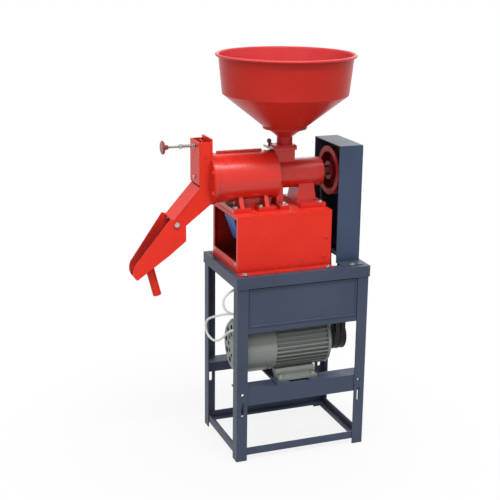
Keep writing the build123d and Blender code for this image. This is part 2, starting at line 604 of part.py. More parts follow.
def outlet_bolt_points():
    radius = (BARREL_FLANGE + BARREL_RADIUS - BARREL_WALL) / 2
    points = []
    for side in (-1, 1):
        for turn in (-OUTLET_BOLT_ANGLE, OUTLET_BOLT_ANGLE):
            points.append((side * radius * cos(radians(turn)), MILL_AXIS + radius * sin(radians(turn))))
    return points


def bran_sieve():
    x = (BARREL_LEFT + 2 * BARREL_WALL, BARREL_RIGHT - 2 * BARREL_WALL)
    ring = x_rod(SIEVE_RADIUS, x, 0, MILL_AXIS) - x_rod(SIEVE_RADIUS - SIEVE_GAUGE, x, 0, MILL_AXIS)
    drop = SIEVE_RADIUS * sin(radians(SIEVE_EDGE))
    sieve = ring - block(x, (-BARREL_RADIUS, BARREL_RADIUS), (MILL_AXIS - drop, MILL_AXIS + BARREL_RADIUS))
    seat_z = MILL_AXIS - drop
    seat_y = sqrt((BARREL_RADIUS - BARREL_WALL) ** 2 - (drop + THIN_SHEET) ** 2) - SEAT_GAP
    for side in (-1, 1):
        sieve += block(x, (side * (SIEVE_RADIUS - SHEET), side * seat_y), (seat_z - THIN_SHEET, seat_z))
    pitch = (x[1] - x[0]) / SIEVE_COLUMNS
    slots = []
    for row in range(SIEVE_ROWS):
        turn = SIEVE_ARC * (row / (SIEVE_ROWS - 1) - 0.5)
        for column in range(SIEVE_COLUMNS):
            centre = x[0] + pitch * (column + 0.5)
            slots.append(Pos(centre, 0, MILL_AXIS) * Rot(turn, 0, 0) * Pos(0, 0, -SIEVE_RADIUS)
                         * Box(pitch * 0.6, THIN_SHEET, 4 * SIEVE_GAUGE))
    return sieve - slots


def rice_knife():
    inner = ROLLER_RADIUS + KNIFE_GAP
    x = (BARREL_LEFT + 2 * BARREL_WALL, BARREL_RIGHT - 2 * BARREL_WALL)
    outer = sqrt((BARREL_RADIUS - BARREL_WALL) ** 2 - KNIFE_HEIGHT ** 2) - SEAT_GAP
    profile = [(inner, MILL_AXIS - KNIFE_HEIGHT), (inner + KNIFE_HEIGHT / 2, MILL_AXIS - KNIFE_HEIGHT),
               (outer, MILL_AXIS - KNIFE_HEIGHT), (outer, MILL_AXIS - SLIDE_GAP),
               (inner + KNIFE_HEIGHT / 2, MILL_AXIS - SLIDE_GAP), (inner, MILL_AXIS - KNIFE_HEIGHT / 2)]
    return outline_yz(profile, x)


def shaft_bearings():
    rings = []
    for x in BEARING_X:
        span = (x, x + BEARING_WIDTH)
        ring = x_rod(BEARING_BORE - SEAT_GAP, span, 0, MILL_AXIS)
        rings.append(ring - x_rod(SHAFT_RADIUS + RUNNING_GAP, span, 0, MILL_AXIS))
    return rings


def mill_bolts():
    bolts = []
    for x in FOOT_BOLT_X:
        for side in (-1, 1):
            bolts.append(Pos(x, side * FOOT_BOLT_Y, BOX_TOP + FOOT_HEIGHT)
                         * hexagon_bolt(FRAME_BOLT, FOOT_HEIGHT + SHEET))
    for x, z in cover_bolt_points():
        bolts.append(Pos(x, -COVER_GAUGE, z) * Rot(90, 0, 0) * hexagon_bolt(COVER_BOLT, 2 * COVER_GAUGE))
    throat_top = SEAT_Z[1] + GATE_GAUGE + 2 * SLIDE_GAP + SHEET
    for x, y in seat_bolt_points():
        bolts.append(Pos(x, y, throat_top) * stud(SEAT_BOLT, throat_top - SEAT_Z[0] - SHEET / 2))
    for y, z in outlet_bolt_points():
        bolts.append(Pos(OUTLET_PLATE_X, y, z) * Rot(0, -90, 0)
                     * stud(OUTLET_BOLT, OUTLET_PLATE + BARREL_FLANGE_WIDTH - THIN_SHEET))
    radius, z = COVER_PLATE_BOLT
    bolts.append(Pos(OUTLET_LEFT - SHEET, 0, z) * Rot(0, -90, 0) * stud(radius, SHEET + THIN_SHEET))
    return bolts


def hopper_bowl():
    foot_radius, foot_z = HOPPER_FOOT
    shoulder_radius, shoulder_z = HOPPER_SHOULDER
    lip_radius = HOPPER_RIM - 2 * HOPPER_BEAD
    lip_z = HOPPER_TOP - HOPPER_BEAD
    outer = [(foot_radius, foot_z), (foot_radius, foot_z + SHEET), (shoulder_radius, shoulder_z),
             (lip_radius, lip_z)]
    inner = [(lip_radius - THIN_SHEET, lip_z), (shoulder_radius - THIN_SHEET, shoulder_z + THIN_SHEET / 2),
             (foot_radius - THIN_SHEET, foot_z + 2 * SHEET), (THROAT_TOP_RADIUS - SHEET, foot_z + THIN_SHEET),
             (THROAT_TOP_RADIUS - SHEET, foot_z)]
    bowl = turned_z(outer + inner, HOPPER_X, 0)
    bead = Pos(HOPPER_X, 0, lip_z) * Torus(HOPPER_RIM - HOPPER_BEAD, HOPPER_BEAD)
    return bowl + bead


def hopper_throat():
    seat = SEAT_Z[1]
    slot_top = seat + GATE_GAUGE + 2 * SLIDE_GAP
    flange_top = slot_top + SHEET
    top = HOPPER_FOOT[1]
    profile = [(HOPPER_FOOT[0], top), (HOPPER_FOOT[0], top - SHEET), (THROAT_TOP_RADIUS, top - SHEET),
               (NECK_RADIUS, NECK_TOP), (NECK_RADIUS, flange_top), (NECK_RADIUS - SHEET, flange_top),
               (NECK_RADIUS - SHEET, NECK_TOP), (THROAT_TOP_RADIUS - SHEET, top)]
    funnel = turned_z(profile, HOPPER_X, 0)
    flange = block(SEAT_X, (-SEAT_DEPTH / 2, SEAT_DEPTH / 2), (seat, flange_top))
    flange -= z_rod(NECK_RADIUS - SHEET, (seat - SHEET, flange_top + SHEET), HOPPER_X, 0)
    guide = GATE_WIDTH / 2 + SLIDE_GAP
    flange -= block((SEAT_X[0] - SHEET, SEAT_X[1] - GATE_STOP + SLIDE_GAP), (-guide, guide), (seat, slot_top))
    for x, y in seat_bolt_points():
        flange -= z_rod(SEAT_BOLT + BOLT_PLAY, (seat - SHEET, flange_top + SHEET), x, y)
    return [funnel, flange]


def gate_plate():
    z = SEAT_Z[1] + SLIDE_GAP
    plate = block((GATE_LEFT, SEAT_X[1] - GATE_STOP), (-GATE_WIDTH / 2, GATE_WIDTH / 2), (z, z + GATE_GAUGE))
    lip = block((GATE_LEFT, GATE_LEFT + GATE_GAUGE), (-GATE_WIDTH / 2, GATE_WIDTH / 2),
                (z, z + 2 * GATE_GAUGE))
    return plate + lip


def gate_knob():
    z = SEAT_Z[1] + SLIDE_GAP + GATE_GAUGE
    x = GATE_LEFT + GATE_KNOB + GATE_GAUGE
    stem = z_rod(GATE_KNOB * 0.45, (z, GATE_KNOB_Z), x, 0)
    return stem + Pos(x, 0, GATE_KNOB_Z) * Sphere(GATE_KNOB)


def strip(a, b, gauge):
    """A sheet seen on edge: from a to b, its gauge laid off to the left of that line."""
    length = hypot(b[0] - a[0], b[1] - a[1])
    side = (-(b[1] - a[1]) / length * gauge, (b[0] - a[0]) / length * gauge)
    return [a, b, (b[0] + side[0], b[1] + side[1]), (a[0] + side[0], a[1] + side[1])]


def outlet_housing():
    half = OUTLET_WIDTH / 2
    plate_x = (OUTLET_PLATE_X, OUTLET_PLATE_X + OUTLET_PLATE)
    elbow = (OUTLET_LEFT, OUTLET_ELBOW_Z)
    floor_end = along_slope(CHUTE_START, CHUTE_SLOPE, CHUTE_LENGTH, 0)
    floor_root = along_slope(CHUTE_START, CHUTE_SLOPE, -OUTLET_PLATE, 0)
    side = [(plate_x[0], OUTLET_TOP), (OUTLET_LEFT, OUTLET_TOP), elbow, CHUTE_LID_END, floor_end, CHUTE_START]
    house = x_rod(BARREL_FLANGE, plate_x, 0, MILL_AXIS)
    house += block(plate_x, (-half, half), (MILL_AXIS, OUTLET_PLATE_TOP))
    for sign in (-1, 1):
        house += outline_xz(side, (sign * half, sign * (half - SHEET)))
    house += outline_xz(strip(floor_end, floor_root, SHEET), (-half, half))
    house += outline_xz(strip(elbow, CHUTE_LID_END, SHEET), (-half, half))
    tie_z = COVER_PLATE_BOLT[1]
    house += block((OUTLET_LEFT, OUTLET_LEFT + THIN_SHEET), (-half, half),
                   (tie_z - TIE_HEIGHT / 2, tie_z + TIE_HEIGHT / 2))
    house -= x_rod(OUTLET_HOLE, (plate_x[0] - SHEET, plate_x[1] + SHEET), 0, MILL_AXIS)
    house -= y_rod(DOOR_PIN + RUNNING_GAP, (-OUTLET_WIDTH, OUTLET_WIDTH), DOOR_X - SHEET / 2, DOOR_PIVOT_Z)
    house -= y_rod(CHUTE_BOLT + RUNNING_GAP, (-OUTLET_WIDTH, OUTLET_WIDTH), *CHUTE_PIVOT)
    house -= x_rod(COVER_PLATE_BOLT[0] + BOLT_PLAY, (OUTLET_LEFT - SHEET, OUTLET_LEFT + 2 * SHEET), 0, tie_z)
    for y, z in outlet_bolt_points():
        house -= x_rod(OUTLET_BOLT + BOLT_PLAY, (plate_x[0] - SHEET, plate_x[1] + SHEET), y, z)
    return house


def outlet_cover():
    half = OUTLET_WIDTH / 2
    x = (OUTLET_LEFT - SHEET, OUTLET_LEFT)
    cover = block(x, (-half, half), (COVER_PLATE_BOTTOM, OUTLET_TOP))
    cover -= x_rod(PRESS_ROD + SLIDE_GAP, (x[0] - SHEET, x[1] + SHEET), 0, PRESS_Z)
    cover -= x_rod(COVER_PLATE_BOLT[0] + BOLT_PLAY, (x[0] - SHEET, x[1] + SHEET), 0, COVER_PLATE_BOLT[1])
    return cover


def pressure_door():
    x = (DOOR_X - SHEET, DOOR_X)
    arm_half = DOOR_WIDTH / 5
    profile = [(-DOOR_WIDTH / 2, DOOR_BOTTOM), (DOOR_WIDTH / 2, DOOR_BOTTOM), (DOOR_WIDTH / 2, DOOR_PIVOT_Z),
               (arm_half, DOOR_PIVOT_Z + DOOR_PIN), (arm_half, OUTLET_TOP), (-arm_half, OUTLET_TOP),
               (-arm_half, DOOR_PIVOT_Z + DOOR_PIN), (-DOOR_WIDTH / 2, DOOR_PIVOT_Z)]
    door = outline_yz(profile, x)
    pin_half = OUTLET_WIDTH / 2 + THIN_SHEET
    door += y_rod(DOOR_PIN, (-pin_half, pin_half), DOOR_X - SHEET / 2, DOOR_PIVOT_Z)
    pad_end = OUTLET_PLATE_X - SLIDE_GAP
    pad = [(DOOR_X, 0), (DOOR_X, DOOR_PAD), (pad_end - SHEET, DOOR_PAD), (pad_end, DOOR_PAD - SHEET),
           (pad_end, DOOR_PAD - 2 * SHEET), (DOOR_X + SHEET, 2 * SHEET), (DOOR_X + SHEET, 0)]
    door += turned_x(pad, 0, MILL_AXIS)
    door -= x_rod(PRESS_ROD + THIN_SHEET, (x[0] - SHEET, x[1] + SHEET), 0, PRESS_Z)
    return door


def washer_x():
    return (DOOR_X + SLIDE_GAP, DOOR_X + SLIDE_GAP + THIN_SHEET)


def thrust_washer():
    x = washer_x()
    return x_rod(3 * PRESS_ROD, x, 0, PRESS_Z) - x_rod(PRESS_ROD + RUNNING_GAP, x, 0, PRESS_Z)


def pressure_screw():
    head_x = washer_x()[1] + SLIDE_GAP
    rod = x_rod(PRESS_ROD, (PRESS_KNOB_X, head_x), 0, PRESS_Z)
    head = extrude(RegularPolygon(2 * PRESS_ROD, 6), amount=1.5 * PRESS_ROD)
    return rod + Pos(head_x, 0, PRESS_Z) * Rot(0, 90, 0) * head


def pressure_knob():
    left = PRESS_KNOB_X - THIN_SHEET
    hub_radius, hub_length = PRESS_KNOB_HUB
    rim = left + PRESS_KNOB_RIM
    profile = [(left, 0), (left, PRESS_KNOB - THIN_SHEET), (left + THIN_SHEET, PRESS_KNOB),
               (rim - THIN_SHEET, PRESS_KNOB), (rim, PRESS_KNOB - THIN_SHEET), (rim, hub_radius),
               (left + hub_length, hub_radius - THIN_SHEET), (left + hub_length, 0)]
    knob = turned_x(profile, 0, PRESS_Z)
    knob -= x_rod(PRESS_ROD + SEAT_GAP, (PRESS_KNOB_X, left + 2 * hub_length), 0, PRESS_Z)
    for notch in range(GRIP_NOTCHES):
        knob -= Pos(0, 0, PRESS_Z) * Rot(360 * notch / GRIP_NOTCHES, 0, 0) * x_rod(
            GRIP_NOTCH, (left - SHEET, rim + SHEET), 0, PRESS_KNOB + THIN_SHEET)
    return knob


def spring_x():
    right = OUTLET_LEFT - SHEET - SLIDE_GAP
    return (right - SPRING_LENGTH, right)


def pressure_spring():
    x = spring_x()
    rise = SPRING_LENGTH - 2 * SPRING_WIRE
    path = Helix(rise / SPRING_TURNS, rise, SPRING_COIL)
    wire = sweep(Plane(path @ 0, z_dir=path % 0) * Circle(SPRING_WIRE), path=path, is_frenet=True)
    return Pos(x[0] + SPRING_WIRE, 0, PRESS_Z) * Rot(0, 90, 0) * wire


def spring_nut():
    right = spring_x()[0] - SLIDE_GAP
    nut = extrude(RegularPolygon(2.3 * PRESS_ROD, 6), amount=1.8 * PRESS_ROD)
    nut = Pos(right, 0, PRESS_Z) * Rot(0, -90, 0) * nut
    return nut - x_rod(PRESS_ROD + RUNNING_GAP, (right - 3 * PRESS_ROD, right + PRESS_ROD), 0, PRESS_Z)


def from_pivot(point):
    return (CHUTE_PIVOT[0] + point[0], CHUTE_PIVOT[1] + point[1])


def low_floor(x):
    """Height of the lower chute's floor at x."""
    (x0, z0), (x1, z1) = from_pivot(LOW_CHUTE_TIP), from_pivot(LOW_CHUTE_HEEL)
    return z0 + (z1 - z0) * (x - x0) / (x1 - x0)


def chute_side(half):
    """The lower chute seen from the side, as one block half on each side of its middle."""
    corners = (LOW_CHUTE_TOP, LOW_CHUTE_LIP, LOW_CHUTE_NOSE, LOW_CHUTE_TIP, LOW_CHUTE_HEEL, LOW_CHUTE_BACK)
    top, lip, nose, tip, heel, back = [(x, half, z) for x, z in map(from_pivot, corners)]
    edges = [Line(top, lip), ThreePointArc(lip, nose, tip), Line(tip, heel), Line(heel, back), Line(back, top)]
    return extrude(make_face(edges), amount=2 * half, dir=(0, -1, 0))


def chute_plan(inset, past):
    """The lower chute seen from above, inset from its walls and run past both its ends."""
    wide = OUTLET_WIDTH / 2 + CHUTE_WALL_GAP + THIN_SHEET
    bend = CHUTE_PIVOT[0] + LOW_CHUTE_BEND
    nose = CHUTE_PIVOT[0] + LOW_CHUTE_NOSE[0]
    slope = (wide - LOW_CHUTE_NOSE_HALF) / (bend - nose)
    narrow = LOW_CHUTE_NOSE_HALF - slope * past
    back = CHUTE_PIVOT[0] + LOW_CHUTE_BACK[0] + past
    half = [(back, wide - inset), (bend, wide - inset), (nose - past, narrow - inset)]
    low = CHUTE_PIVOT[1] + LOW_CHUTE_TIP[1] - ANGLE
    high = CHUTE_PIVOT[1] + LOW_CHUTE_TOP[1] + ANGLE
    return outline_xy(half + [(x, -y) for x, y in reversed(half)], (low, high))


def lower_chute():
    tip, heel = from_pivot(LOW_CHUTE_TIP), from_pivot(LOW_CHUTE_HEEL)
    chute = chute_side(OUTLET_WIDTH) & (chute_plan(0, 0) - chute_plan(THIN_SHEET, ANGLE))
    floor = outline_xz(strip(tip, heel, THIN_SHEET), (-OUTLET_WIDTH, OUTLET_WIDTH))
    floor += block((heel[0] - THIN_SHEET, heel[0]), (-OUTLET_WIDTH, OUTLET_WIDTH),
                   (heel[1], heel[1] + LOW_CHUTE_BACK_PLATE))
    floor += block((tip[0], tip[0] + THIN_SHEET), (-OUTLET_WIDTH, OUTLET_WIDTH),
                   (tip[1], tip[1] + SCREEN_LIFT))
    chute += floor & chute_plan(0, 0) & chute_side(OUTLET_WIDTH)
    start = (SPOUT_TOP_X, low_floor(SPOUT_TOP_X) + THIN_SHEET)
    length = hypot(SPOUT_END[0] - start[0], SPOUT_END[1] - start[1])
    lean = degrees(atan2(SPOUT_END[0] - start[0], SPOUT_END[1] - start[1]))
    place = Pos(start[0], 0, start[1]) * Rot(0, lean, 0)
    spout = place * Cylinder(SPOUT_RADIUS, length, align=(Align.CENTER, Align.CENTER, Align.MIN))
    below = [tip, heel, (heel[0], SPOUT_END[1] - ANGLE), (tip[0], SPOUT_END[1] - ANGLE)]
    chute += spout & outline_xz(below, (-OUTLET_WIDTH, OUTLET_WIDTH))
    chute -= place * Pos(0, 0, -SCREEN_LIFT) * Cylinder(
        SPOUT_RADIUS - THIN_SHEET, length + 2 * SCREEN_LIFT, align=(Align.CENTER, Align.CENTER, Align.MIN))
    return chute - y_rod(CHUTE_BOLT + RUNNING_GAP, (-OUTLET_WIDTH, OUTLET_WIDTH), *CHUTE_PIVOT)


def chute_screen():
    left = CHUTE_PIVOT[0] + LOW_CHUTE_TIP[0]
    right = CHUTE_PIVOT[0] + LOW_CHUTE_HEEL[0] - 2 * THIN_SHEET
    a, b = (left, low_floor(left) + SCREEN_LIFT), (right, low_floor(right) + SCREEN_LIFT)
    screen = outline_xz(strip(a, b, SCREEN_GAUGE), (-OUTLET_WIDTH, OUTLET_WIDTH))
    screen &= chute_plan(THIN_SHEET + SLIDE_GAP, 0)
    tilt = degrees(atan2(b[1] - a[1], b[0] - a[0]))
    row_pitch = 2 * LOW_CHUTE_NOSE_HALF / SCREEN_ROWS
    slots = []
    for column in range(SCREEN_COLUMNS):
        share = (column + 1) / (SCREEN_COLUMNS + 1)
        for row in range(SCREEN_ROWS):
            y = row_pitch * (row - (SCREEN_ROWS - 1) / 2)
            slots.append(Pos(a[0] + (b[0] - a[0]) * share, y, a[1] + (b[1] - a[1]) * share)
                         * Rot(0, -tilt, 0) * Box(THIN_SHEET, row_pitch * 0.6, 6 * SCREEN_GAUGE))
    return screen - slots


def chute_bolts():
    bolts = []
    inner = OUTLET_WIDTH / 2 - SHEET
    outer = OUTLET_WIDTH / 2 + CHUTE_WALL_GAP + THIN_SHEET + SLIDE_GAP
    for side in (-1, 1):
        bolts.append(Pos(CHUTE_PIVOT[0], side * outer, CHUTE_PIVOT[1]) * Rot(-90 * side, 0, 0)
                     * hexagon_bolt(CHUTE_BOLT, outer - inner))
    return bolts


def main_shaft():
    shaft = x_rod(SHAFT_RADIUS, (ROLLER_LEFT - SLIDE_GAP, SHAFT_RIGHT), 0, MILL_AXIS)
    shaft += x_rod(SHAFT_RADIUS * 0.6, (SHAFT_LEFT, ROLLER_LEFT), 0, MILL_AXIS)
    nut = extrude(RegularPolygon(SHAFT_RADIUS * 1.25, 6), amount=SHAFT_RADIUS * 0.7)
    shaft += Pos(ROLLER_LEFT - SLIDE_GAP, 0, MILL_AXIS) * Rot(0, -90, 0) * nut
    return chamfer(shaft.edges().filter_by(GeomType.CIRCLE).sort_by(Axis.X)[-1], THIN_SHEET)


def twisted(section, x, turn):
    """A section drawn square to the shaft, drawn out along it while it turns."""
    length = x[1] - x[0]
    solid = Solid.extrude_linear_with_rotation(section.face(), (0, 0, 0), (0, 0, length), turn)
    return Pos(x[0], 0, MILL_AXIS) * Rot(0, 90, 0) * solid


def feed_screw():
    x = (SCREW_LEFT, SCREW_RIGHT)
    reach = SCREW_BORE - SCREW_CLEARANCE
    root = SCREW_HUB - THIN_SHEET
    flight = Pos((root + reach) / 2, 0) * Rectangle(reach - root, SCREW_HUB / 2)
    section = (Circle(SCREW_HUB) + (flight & Circle(reach))).clean()
    return twisted(section, x, 360 * SCREW_TURNS) - x_rod(SHAFT_RADIUS + SEAT_GAP, x, 0, MILL_AXIS)


def milling_roller():
    x = (ROLLER_LEFT, SCREW_LEFT - SLIDE_GAP)
    section = Circle(ROLLER_CORE)
    for rib in range(ROLLER_RIBS):
        bar = Pos((ROLLER_CORE - THIN_SHEET + ROLLER_RADIUS) / 2, 0) * Rectangle(
            ROLLER_RADIUS - ROLLER_CORE + THIN_SHEET, ROLLER_CORE / 4)
        section += Rot(0, 0, 360 * rib / ROLLER_RIBS) * (bar & Circle(ROLLER_RADIUS))
    return twisted(section.clean(), x, ROLLER_TWIST) - x_rod(SHAFT_RADIUS + SEAT_GAP, x, 0, MILL_AXIS)


def groove_points(rim, x):
    """The V of one groove, from the left edge of its mouth to the right."""
    slope = (BELT_TOP - BELT_BOTTOM) / 2 / BELT_HEIGHT
    belt_outer = rim - BELT_DEPTH_IN_RIM + BELT_HEIGHT / 2
    half = BELT_TOP / 2 + GROOVE_GAP
    mouth = half + slope * (rim - belt_outer)
    floor = belt_outer - BELT_HEIGHT - SHEET
    base = half - slope * (belt_outer - floor)
    return [(x - mouth, rim), (x - base, floor), (x + base, floor), (x + mouth, rim)]


def grooved_rim(rim, inner, y, z):
    points = [(PULLEY_X[0], inner), (PULLEY_X[0], rim)]
    for x in BELT_X:
        points += groove_points(rim, x)
    points += [(PULLEY_X[1], rim), (PULLEY_X[1], inner)]
    return turned_x(points, y, z)


def mill_pulley():
    rim_inner = MILL_PULLEY_RADIUS - MILL_PULLEY_RIM
    web = [PULLEY_X[1] - face for face in MILL_PULLEY_WEB]
    pulley = grooved_rim(MILL_PULLEY_RADIUS, rim_inner, 0, MILL_AXIS)
    pulley += x_rod(rim_inner + THIN_SHEET, web, 0, MILL_AXIS)
    pulley += x_rod(MILL_PULLEY_HUB, PULLEY_X, 0, MILL_AXIS)
    return pulley - x_rod(SHAFT_RADIUS + SEAT_GAP, (PULLEY_X[0] - SHEET, PULLEY_X[1] + SHEET), 0, MILL_AXIS)


def belt_tangents():
    """For each straight run: where it leaves the mill pulley and the motor pulley, as (y, z)."""
    upper = MILL_PULLEY_RADIUS - BELT_DEPTH_IN_RIM
    lower = MOTOR_PULLEY_RADIUS - BELT_DEPTH_IN_RIM
    run = (MOTOR_Y, MOTOR_AXIS - MILL_AXIS)
    length = hypot(*run)
    heading = atan2(run[1], run[0])
    spread = acos((upper - lower) / length)
    runs = []
    for side in (-1, 1):
        normal = (cos(heading + side * spread), sin(heading + side * spread))
        runs.append(((upper * normal[0], MILL_AXIS + upper * normal[1]),
                     (MOTOR_Y + lower * normal[0], MOTOR_AXIS + lower * normal[1]), normal))
    return runs, (run[0] / length, run[1] / length), upper, lower


def drive_belts():
    (front, rear), line, upper, lower = belt_tangents()
    belts = []
    for x in BELT_X:
        far_low = (x, MOTOR_Y + lower * line[0], MOTOR_AXIS + lower * line[1])
        far_high = (x, -upper * line[0], MILL_AXIS - upper * line[1])
        ends = [(x, *front[0]), (x, *front[1]), (x, *rear[1]), (x, *rear[0])]
        path = Wire([Line(ends[0], ends[1]), ThreePointArc(ends[1], far_low, ends[2]), Line(ends[2], ends[3]),
                     ThreePointArc(ends[3], far_high, ends[0])])
        out, normal = BELT_HEIGHT / 2, front[2]
        corners = [(BELT_BOTTOM / 2, -out), (-BELT_BOTTOM / 2, -out), (-BELT_TOP / 2, out),
                   (BELT_TOP / 2, out)]
        section = make_face(Polyline(*[(x + a, front[0][0] + b * normal[0], front[0][1] + b * normal[1])
                                       for a, b in corners], close=True))
        belts.append(sweep(section, path=path))
    return belts


def belt_guard():
    z = (STAND_HEIGHT, GUARD_TOP)
    guard = block(GUARD_X, GUARD_Y, z)
    guard -= block((GUARD_X[0] - SHEET, GUARD_X[1] - THIN_SHEET),
                   (GUARD_Y[0] + THIN_SHEET, GUARD_Y[1] - THIN_SHEET), (z[0] - SHEET, z[1] - THIN_SHEET))
    for inner, outer in ((GUARD_Y[0], -GUARD_FOOT), (GUARD_Y[1], GUARD_FOOT)):
        guard += block((GUARD_X[0] + SHEET, GUARD_X[1] - SHEET), (inner, outer), (z[0], z[0] + THIN_SHEET))
        guard -= z_rod(FRAME_BOLT + BOLT_PLAY, (z[0] - SHEET, z[0] + SHEET), GUARD_BOLT_X,
                       FRAME_BOLT_Y if outer > 0 else -FRAME_BOLT_Y)
    return guard


def motor_housing():
    x0, x1 = MOTOR_BODY_X
    section = Circle(MOTOR_CORE)
    fin = Pos(MOTOR_FIN_RADIUS * 7 / 8, 0) * Rectangle(MOTOR_FIN_RADIUS / 4, MOTOR_FIN_WIDTH)
    for turn in range(MOTOR_FINS):
        section += Rot(0, 0, 360 * (turn + 0.5) / MOTOR_FINS) * fin
    body = Pos(x0, MOTOR_Y, MOTOR_AXIS) * Rot(0, 90, 0) * extrude(section, amount=x1 - x0)
    pad_x = (TERMINAL_X[0] + BOX_BORDER, TERMINAL_X[1] - BOX_BORDER)
    pad_y = (TERMINAL_Y[0] + BOX_BORDER, TERMINAL_Y[1] - BOX_BORDER)
    body += block(pad_x, pad_y, (MOTOR_AXIS + MOTOR_CORE / 2, TERMINAL_Z))
    toe = MOTOR_FOOT_SPAN / 2 + MOTOR_FOOT_TOE
    heel = MOTOR_FOOT_SPAN / 2 - MOTOR_FOOT_HEIGHT
    foot_top = MOTOR_FOOT_Z + MOTOR_FOOT_HEIGHT
    ledge = MOTOR_FOOT_Z + MOTOR_FOOT_LEDGE
    root_z = MOTOR_AXIS - MOTOR_CORE / 2
    foot = [(toe, MOTOR_FOOT_Z), (toe, foot_top), (heel, foot_top), (heel, ledge - MOTOR_FOOT_HEIGHT),
            (heel - THIN_SHEET, ledge), (heel - 20, ledge), (heel - 26, root_z), (heel - 50, root_z),
            (heel - 14, MOTOR_FOOT_Z)]
    for side in (-1, 1):
        body += outline_yz([(MOTOR_Y + side * a, b) for a, b in foot], MOTOR_FOOT_X)
    body -= x_rod(MOTOR_BORE, (x0 + MOTOR_FOOT_HEIGHT, x1 + SHEET), MOTOR_Y, MOTOR_AXIS)
    body -= x_rod(MOTOR_SHAFT + RUNNING_GAP, (x0 - SHEET, x1), MOTOR_Y, MOTOR_AXIS)
    for x in MOTOR_BOLT_X:
        for y in MOTOR_BOLT_Y:
            body -= z_rod(FRAME_BOLT + BOLT_PLAY, (MOTOR_FOOT_Z - SHEET, foot_top + MOTOR_FOOT_HEIGHT), x, y)
    return body


def motor_end_bell():
    x0, x1 = MOTOR_BODY_X[1], MOTOR_BELL_RIGHT
    profile = [(x0, MOTOR_SHAFT + RUNNING_GAP), (x0, MOTOR_FIN_RADIUS), (x0 + BELL_RIM, MOTOR_FIN_RADIUS),
               (x0 + BELL_STEP[0], MOTOR_FIN_RADIUS - BELL_STEP[1]),
               (x1 - 2 * THIN_SHEET, BELL_NOSE + THIN_SHEET), (x1, BELL_NOSE), (x1, MOTOR_SHAFT + RUNNING_GAP)]
    return turned_x(profile, MOTOR_Y, MOTOR_AXIS)


def fan_cowl():
    right = MOTOR_BODY_X[0] - SLIDE_GAP
    inside = COWL_RADIUS - THIN_SHEET
    shoulder = COWL_LEFT + COWL_BEVEL
    profile = [(COWL_LEFT, 0), (COWL_LEFT, COWL_RADIUS - COWL_BEVEL), (shoulder, COWL_RADIUS),
               (right, COWL_RADIUS), (right, inside), (shoulder + THIN_SHEET / 2, inside),
               (COWL_LEFT + THIN_SHEET, COWL_RADIUS - COWL_BEVEL - THIN_SHEET / 2),
               (COWL_LEFT + THIN_SHEET, 0)]
    cowl = turned_x(profile, MOTOR_Y, MOTOR_AXIS)
    for hole in range(COWL_HOLES):
        for ring, radius in COWL_HOLE_RINGS:
            turn = 360 * (hole + ring) / COWL_HOLES
            cowl -= Pos(0, MOTOR_Y, MOTOR_AXIS) * Rot(turn, 0, 0) * x_rod(
                radius, (COWL_LEFT - SHEET, COWL_LEFT + 2 * SHEET), 0, COWL_RADIUS * ring)
    return cowl


def terminal_box():
    (x0, x1), (y0, y1) = TERMINAL_X, TERMINAL_Y
    z = (TERMINAL_Z, TERMINAL_Z + TERMINAL_HEIGHT)
    box = block(TERMINAL_X, TERMINAL_Y, z)
    box -= block((x0 + SHEET, x1 - SHEET), (y0 + SHEET, y1 - SHEET), (z[0] + SHEET, z[1]))
    box -= x_rod(LEAD_RADIUS + BOLT_PLAY, (x0 - SHEET, x0 + 2 * SHEET), LEAD_Y, lead_z())
    lid = block((x0 - SHEET, x1 + SHEET), (y0 - SHEET, y1 + SHEET), (z[1], z[1] + TERMINAL_LID))
    return [box, chamfer(lid.faces().sort_by(Axis.Z)[-1].edges(), THIN_SHEET)]


def lead_z():
    return LEAD_POINTS[0][2]


def cable_gland():
    x = TERMINAL_X[0] - FACE_GAP
    bore = LEAD_RADIUS + SLIDE_GAP
    radius, length = GLAND_NUT
    tip = bore + SHEET / 2
    profile = [(x, bore), (x, radius), (x - length, radius), (x - length - 1, GLAND_SLEEVE),
               (x - GLAND_LENGTH, tip), (x - GLAND_LENGTH, bore)]
    return turned_x(profile, LEAD_Y, lead_z())


def motor_bolts():
    bolts = []
    for x in MOTOR_BOLT_X:
        for y, rail in zip(MOTOR_BOLT_Y, (SHEET, 0)):
            grip = MOTOR_FOOT_HEIGHT + MOTOR_BAR_HEIGHT + rail
            bolts.append(Pos(x, y, MOTOR_FOOT_Z + MOTOR_FOOT_HEIGHT) * hexagon_bolt(FRAME_BOLT, grip))
    return bolts


def motor_rotor():
    shaft = x_rod(MOTOR_SHAFT, (FAN_X[0] - 2 * SHEET, SHAFT_RIGHT), MOTOR_Y, MOTOR_AXIS)
    core_x = (MOTOR_BODY_X[0] + 5 * SHEET, MOTOR_BODY_X[1] - 2 * SHEET)
    return shaft + x_rod(ROTOR_CORE, core_x, MOTOR_Y, MOTOR_AXIS)


def motor_pulley():
    return grooved_rim(MOTOR_PULLEY_RADIUS, MOTOR_SHAFT + SEAT_GAP, MOTOR_Y, MOTOR_AXIS)


def cooling_fan():
    fan = x_rod(FAN_HUB, FAN_X, MOTOR_Y, MOTOR_AXIS)
    fan += x_rod(FAN_RADIUS, (FAN_X[1] - SHEET, FAN_X[1]), MOTOR_Y, MOTOR_AXIS)
    for turn in range(FAN_BLADES):
        fan += Pos(0, MOTOR_Y, MOTOR_AXIS) * Rot(360 * turn / FAN_BLADES, 0, 0) * block(
            FAN_X, (-SHEET / 2, SHEET / 2), (MOTOR_SHAFT + SHEET, FAN_RADIUS))
    return fan - x_rod(MOTOR_SHAFT + SEAT_GAP, (FAN_X[0] - SHEET, FAN_X[1] + SHEET), MOTOR_Y, MOTOR_AXIS)


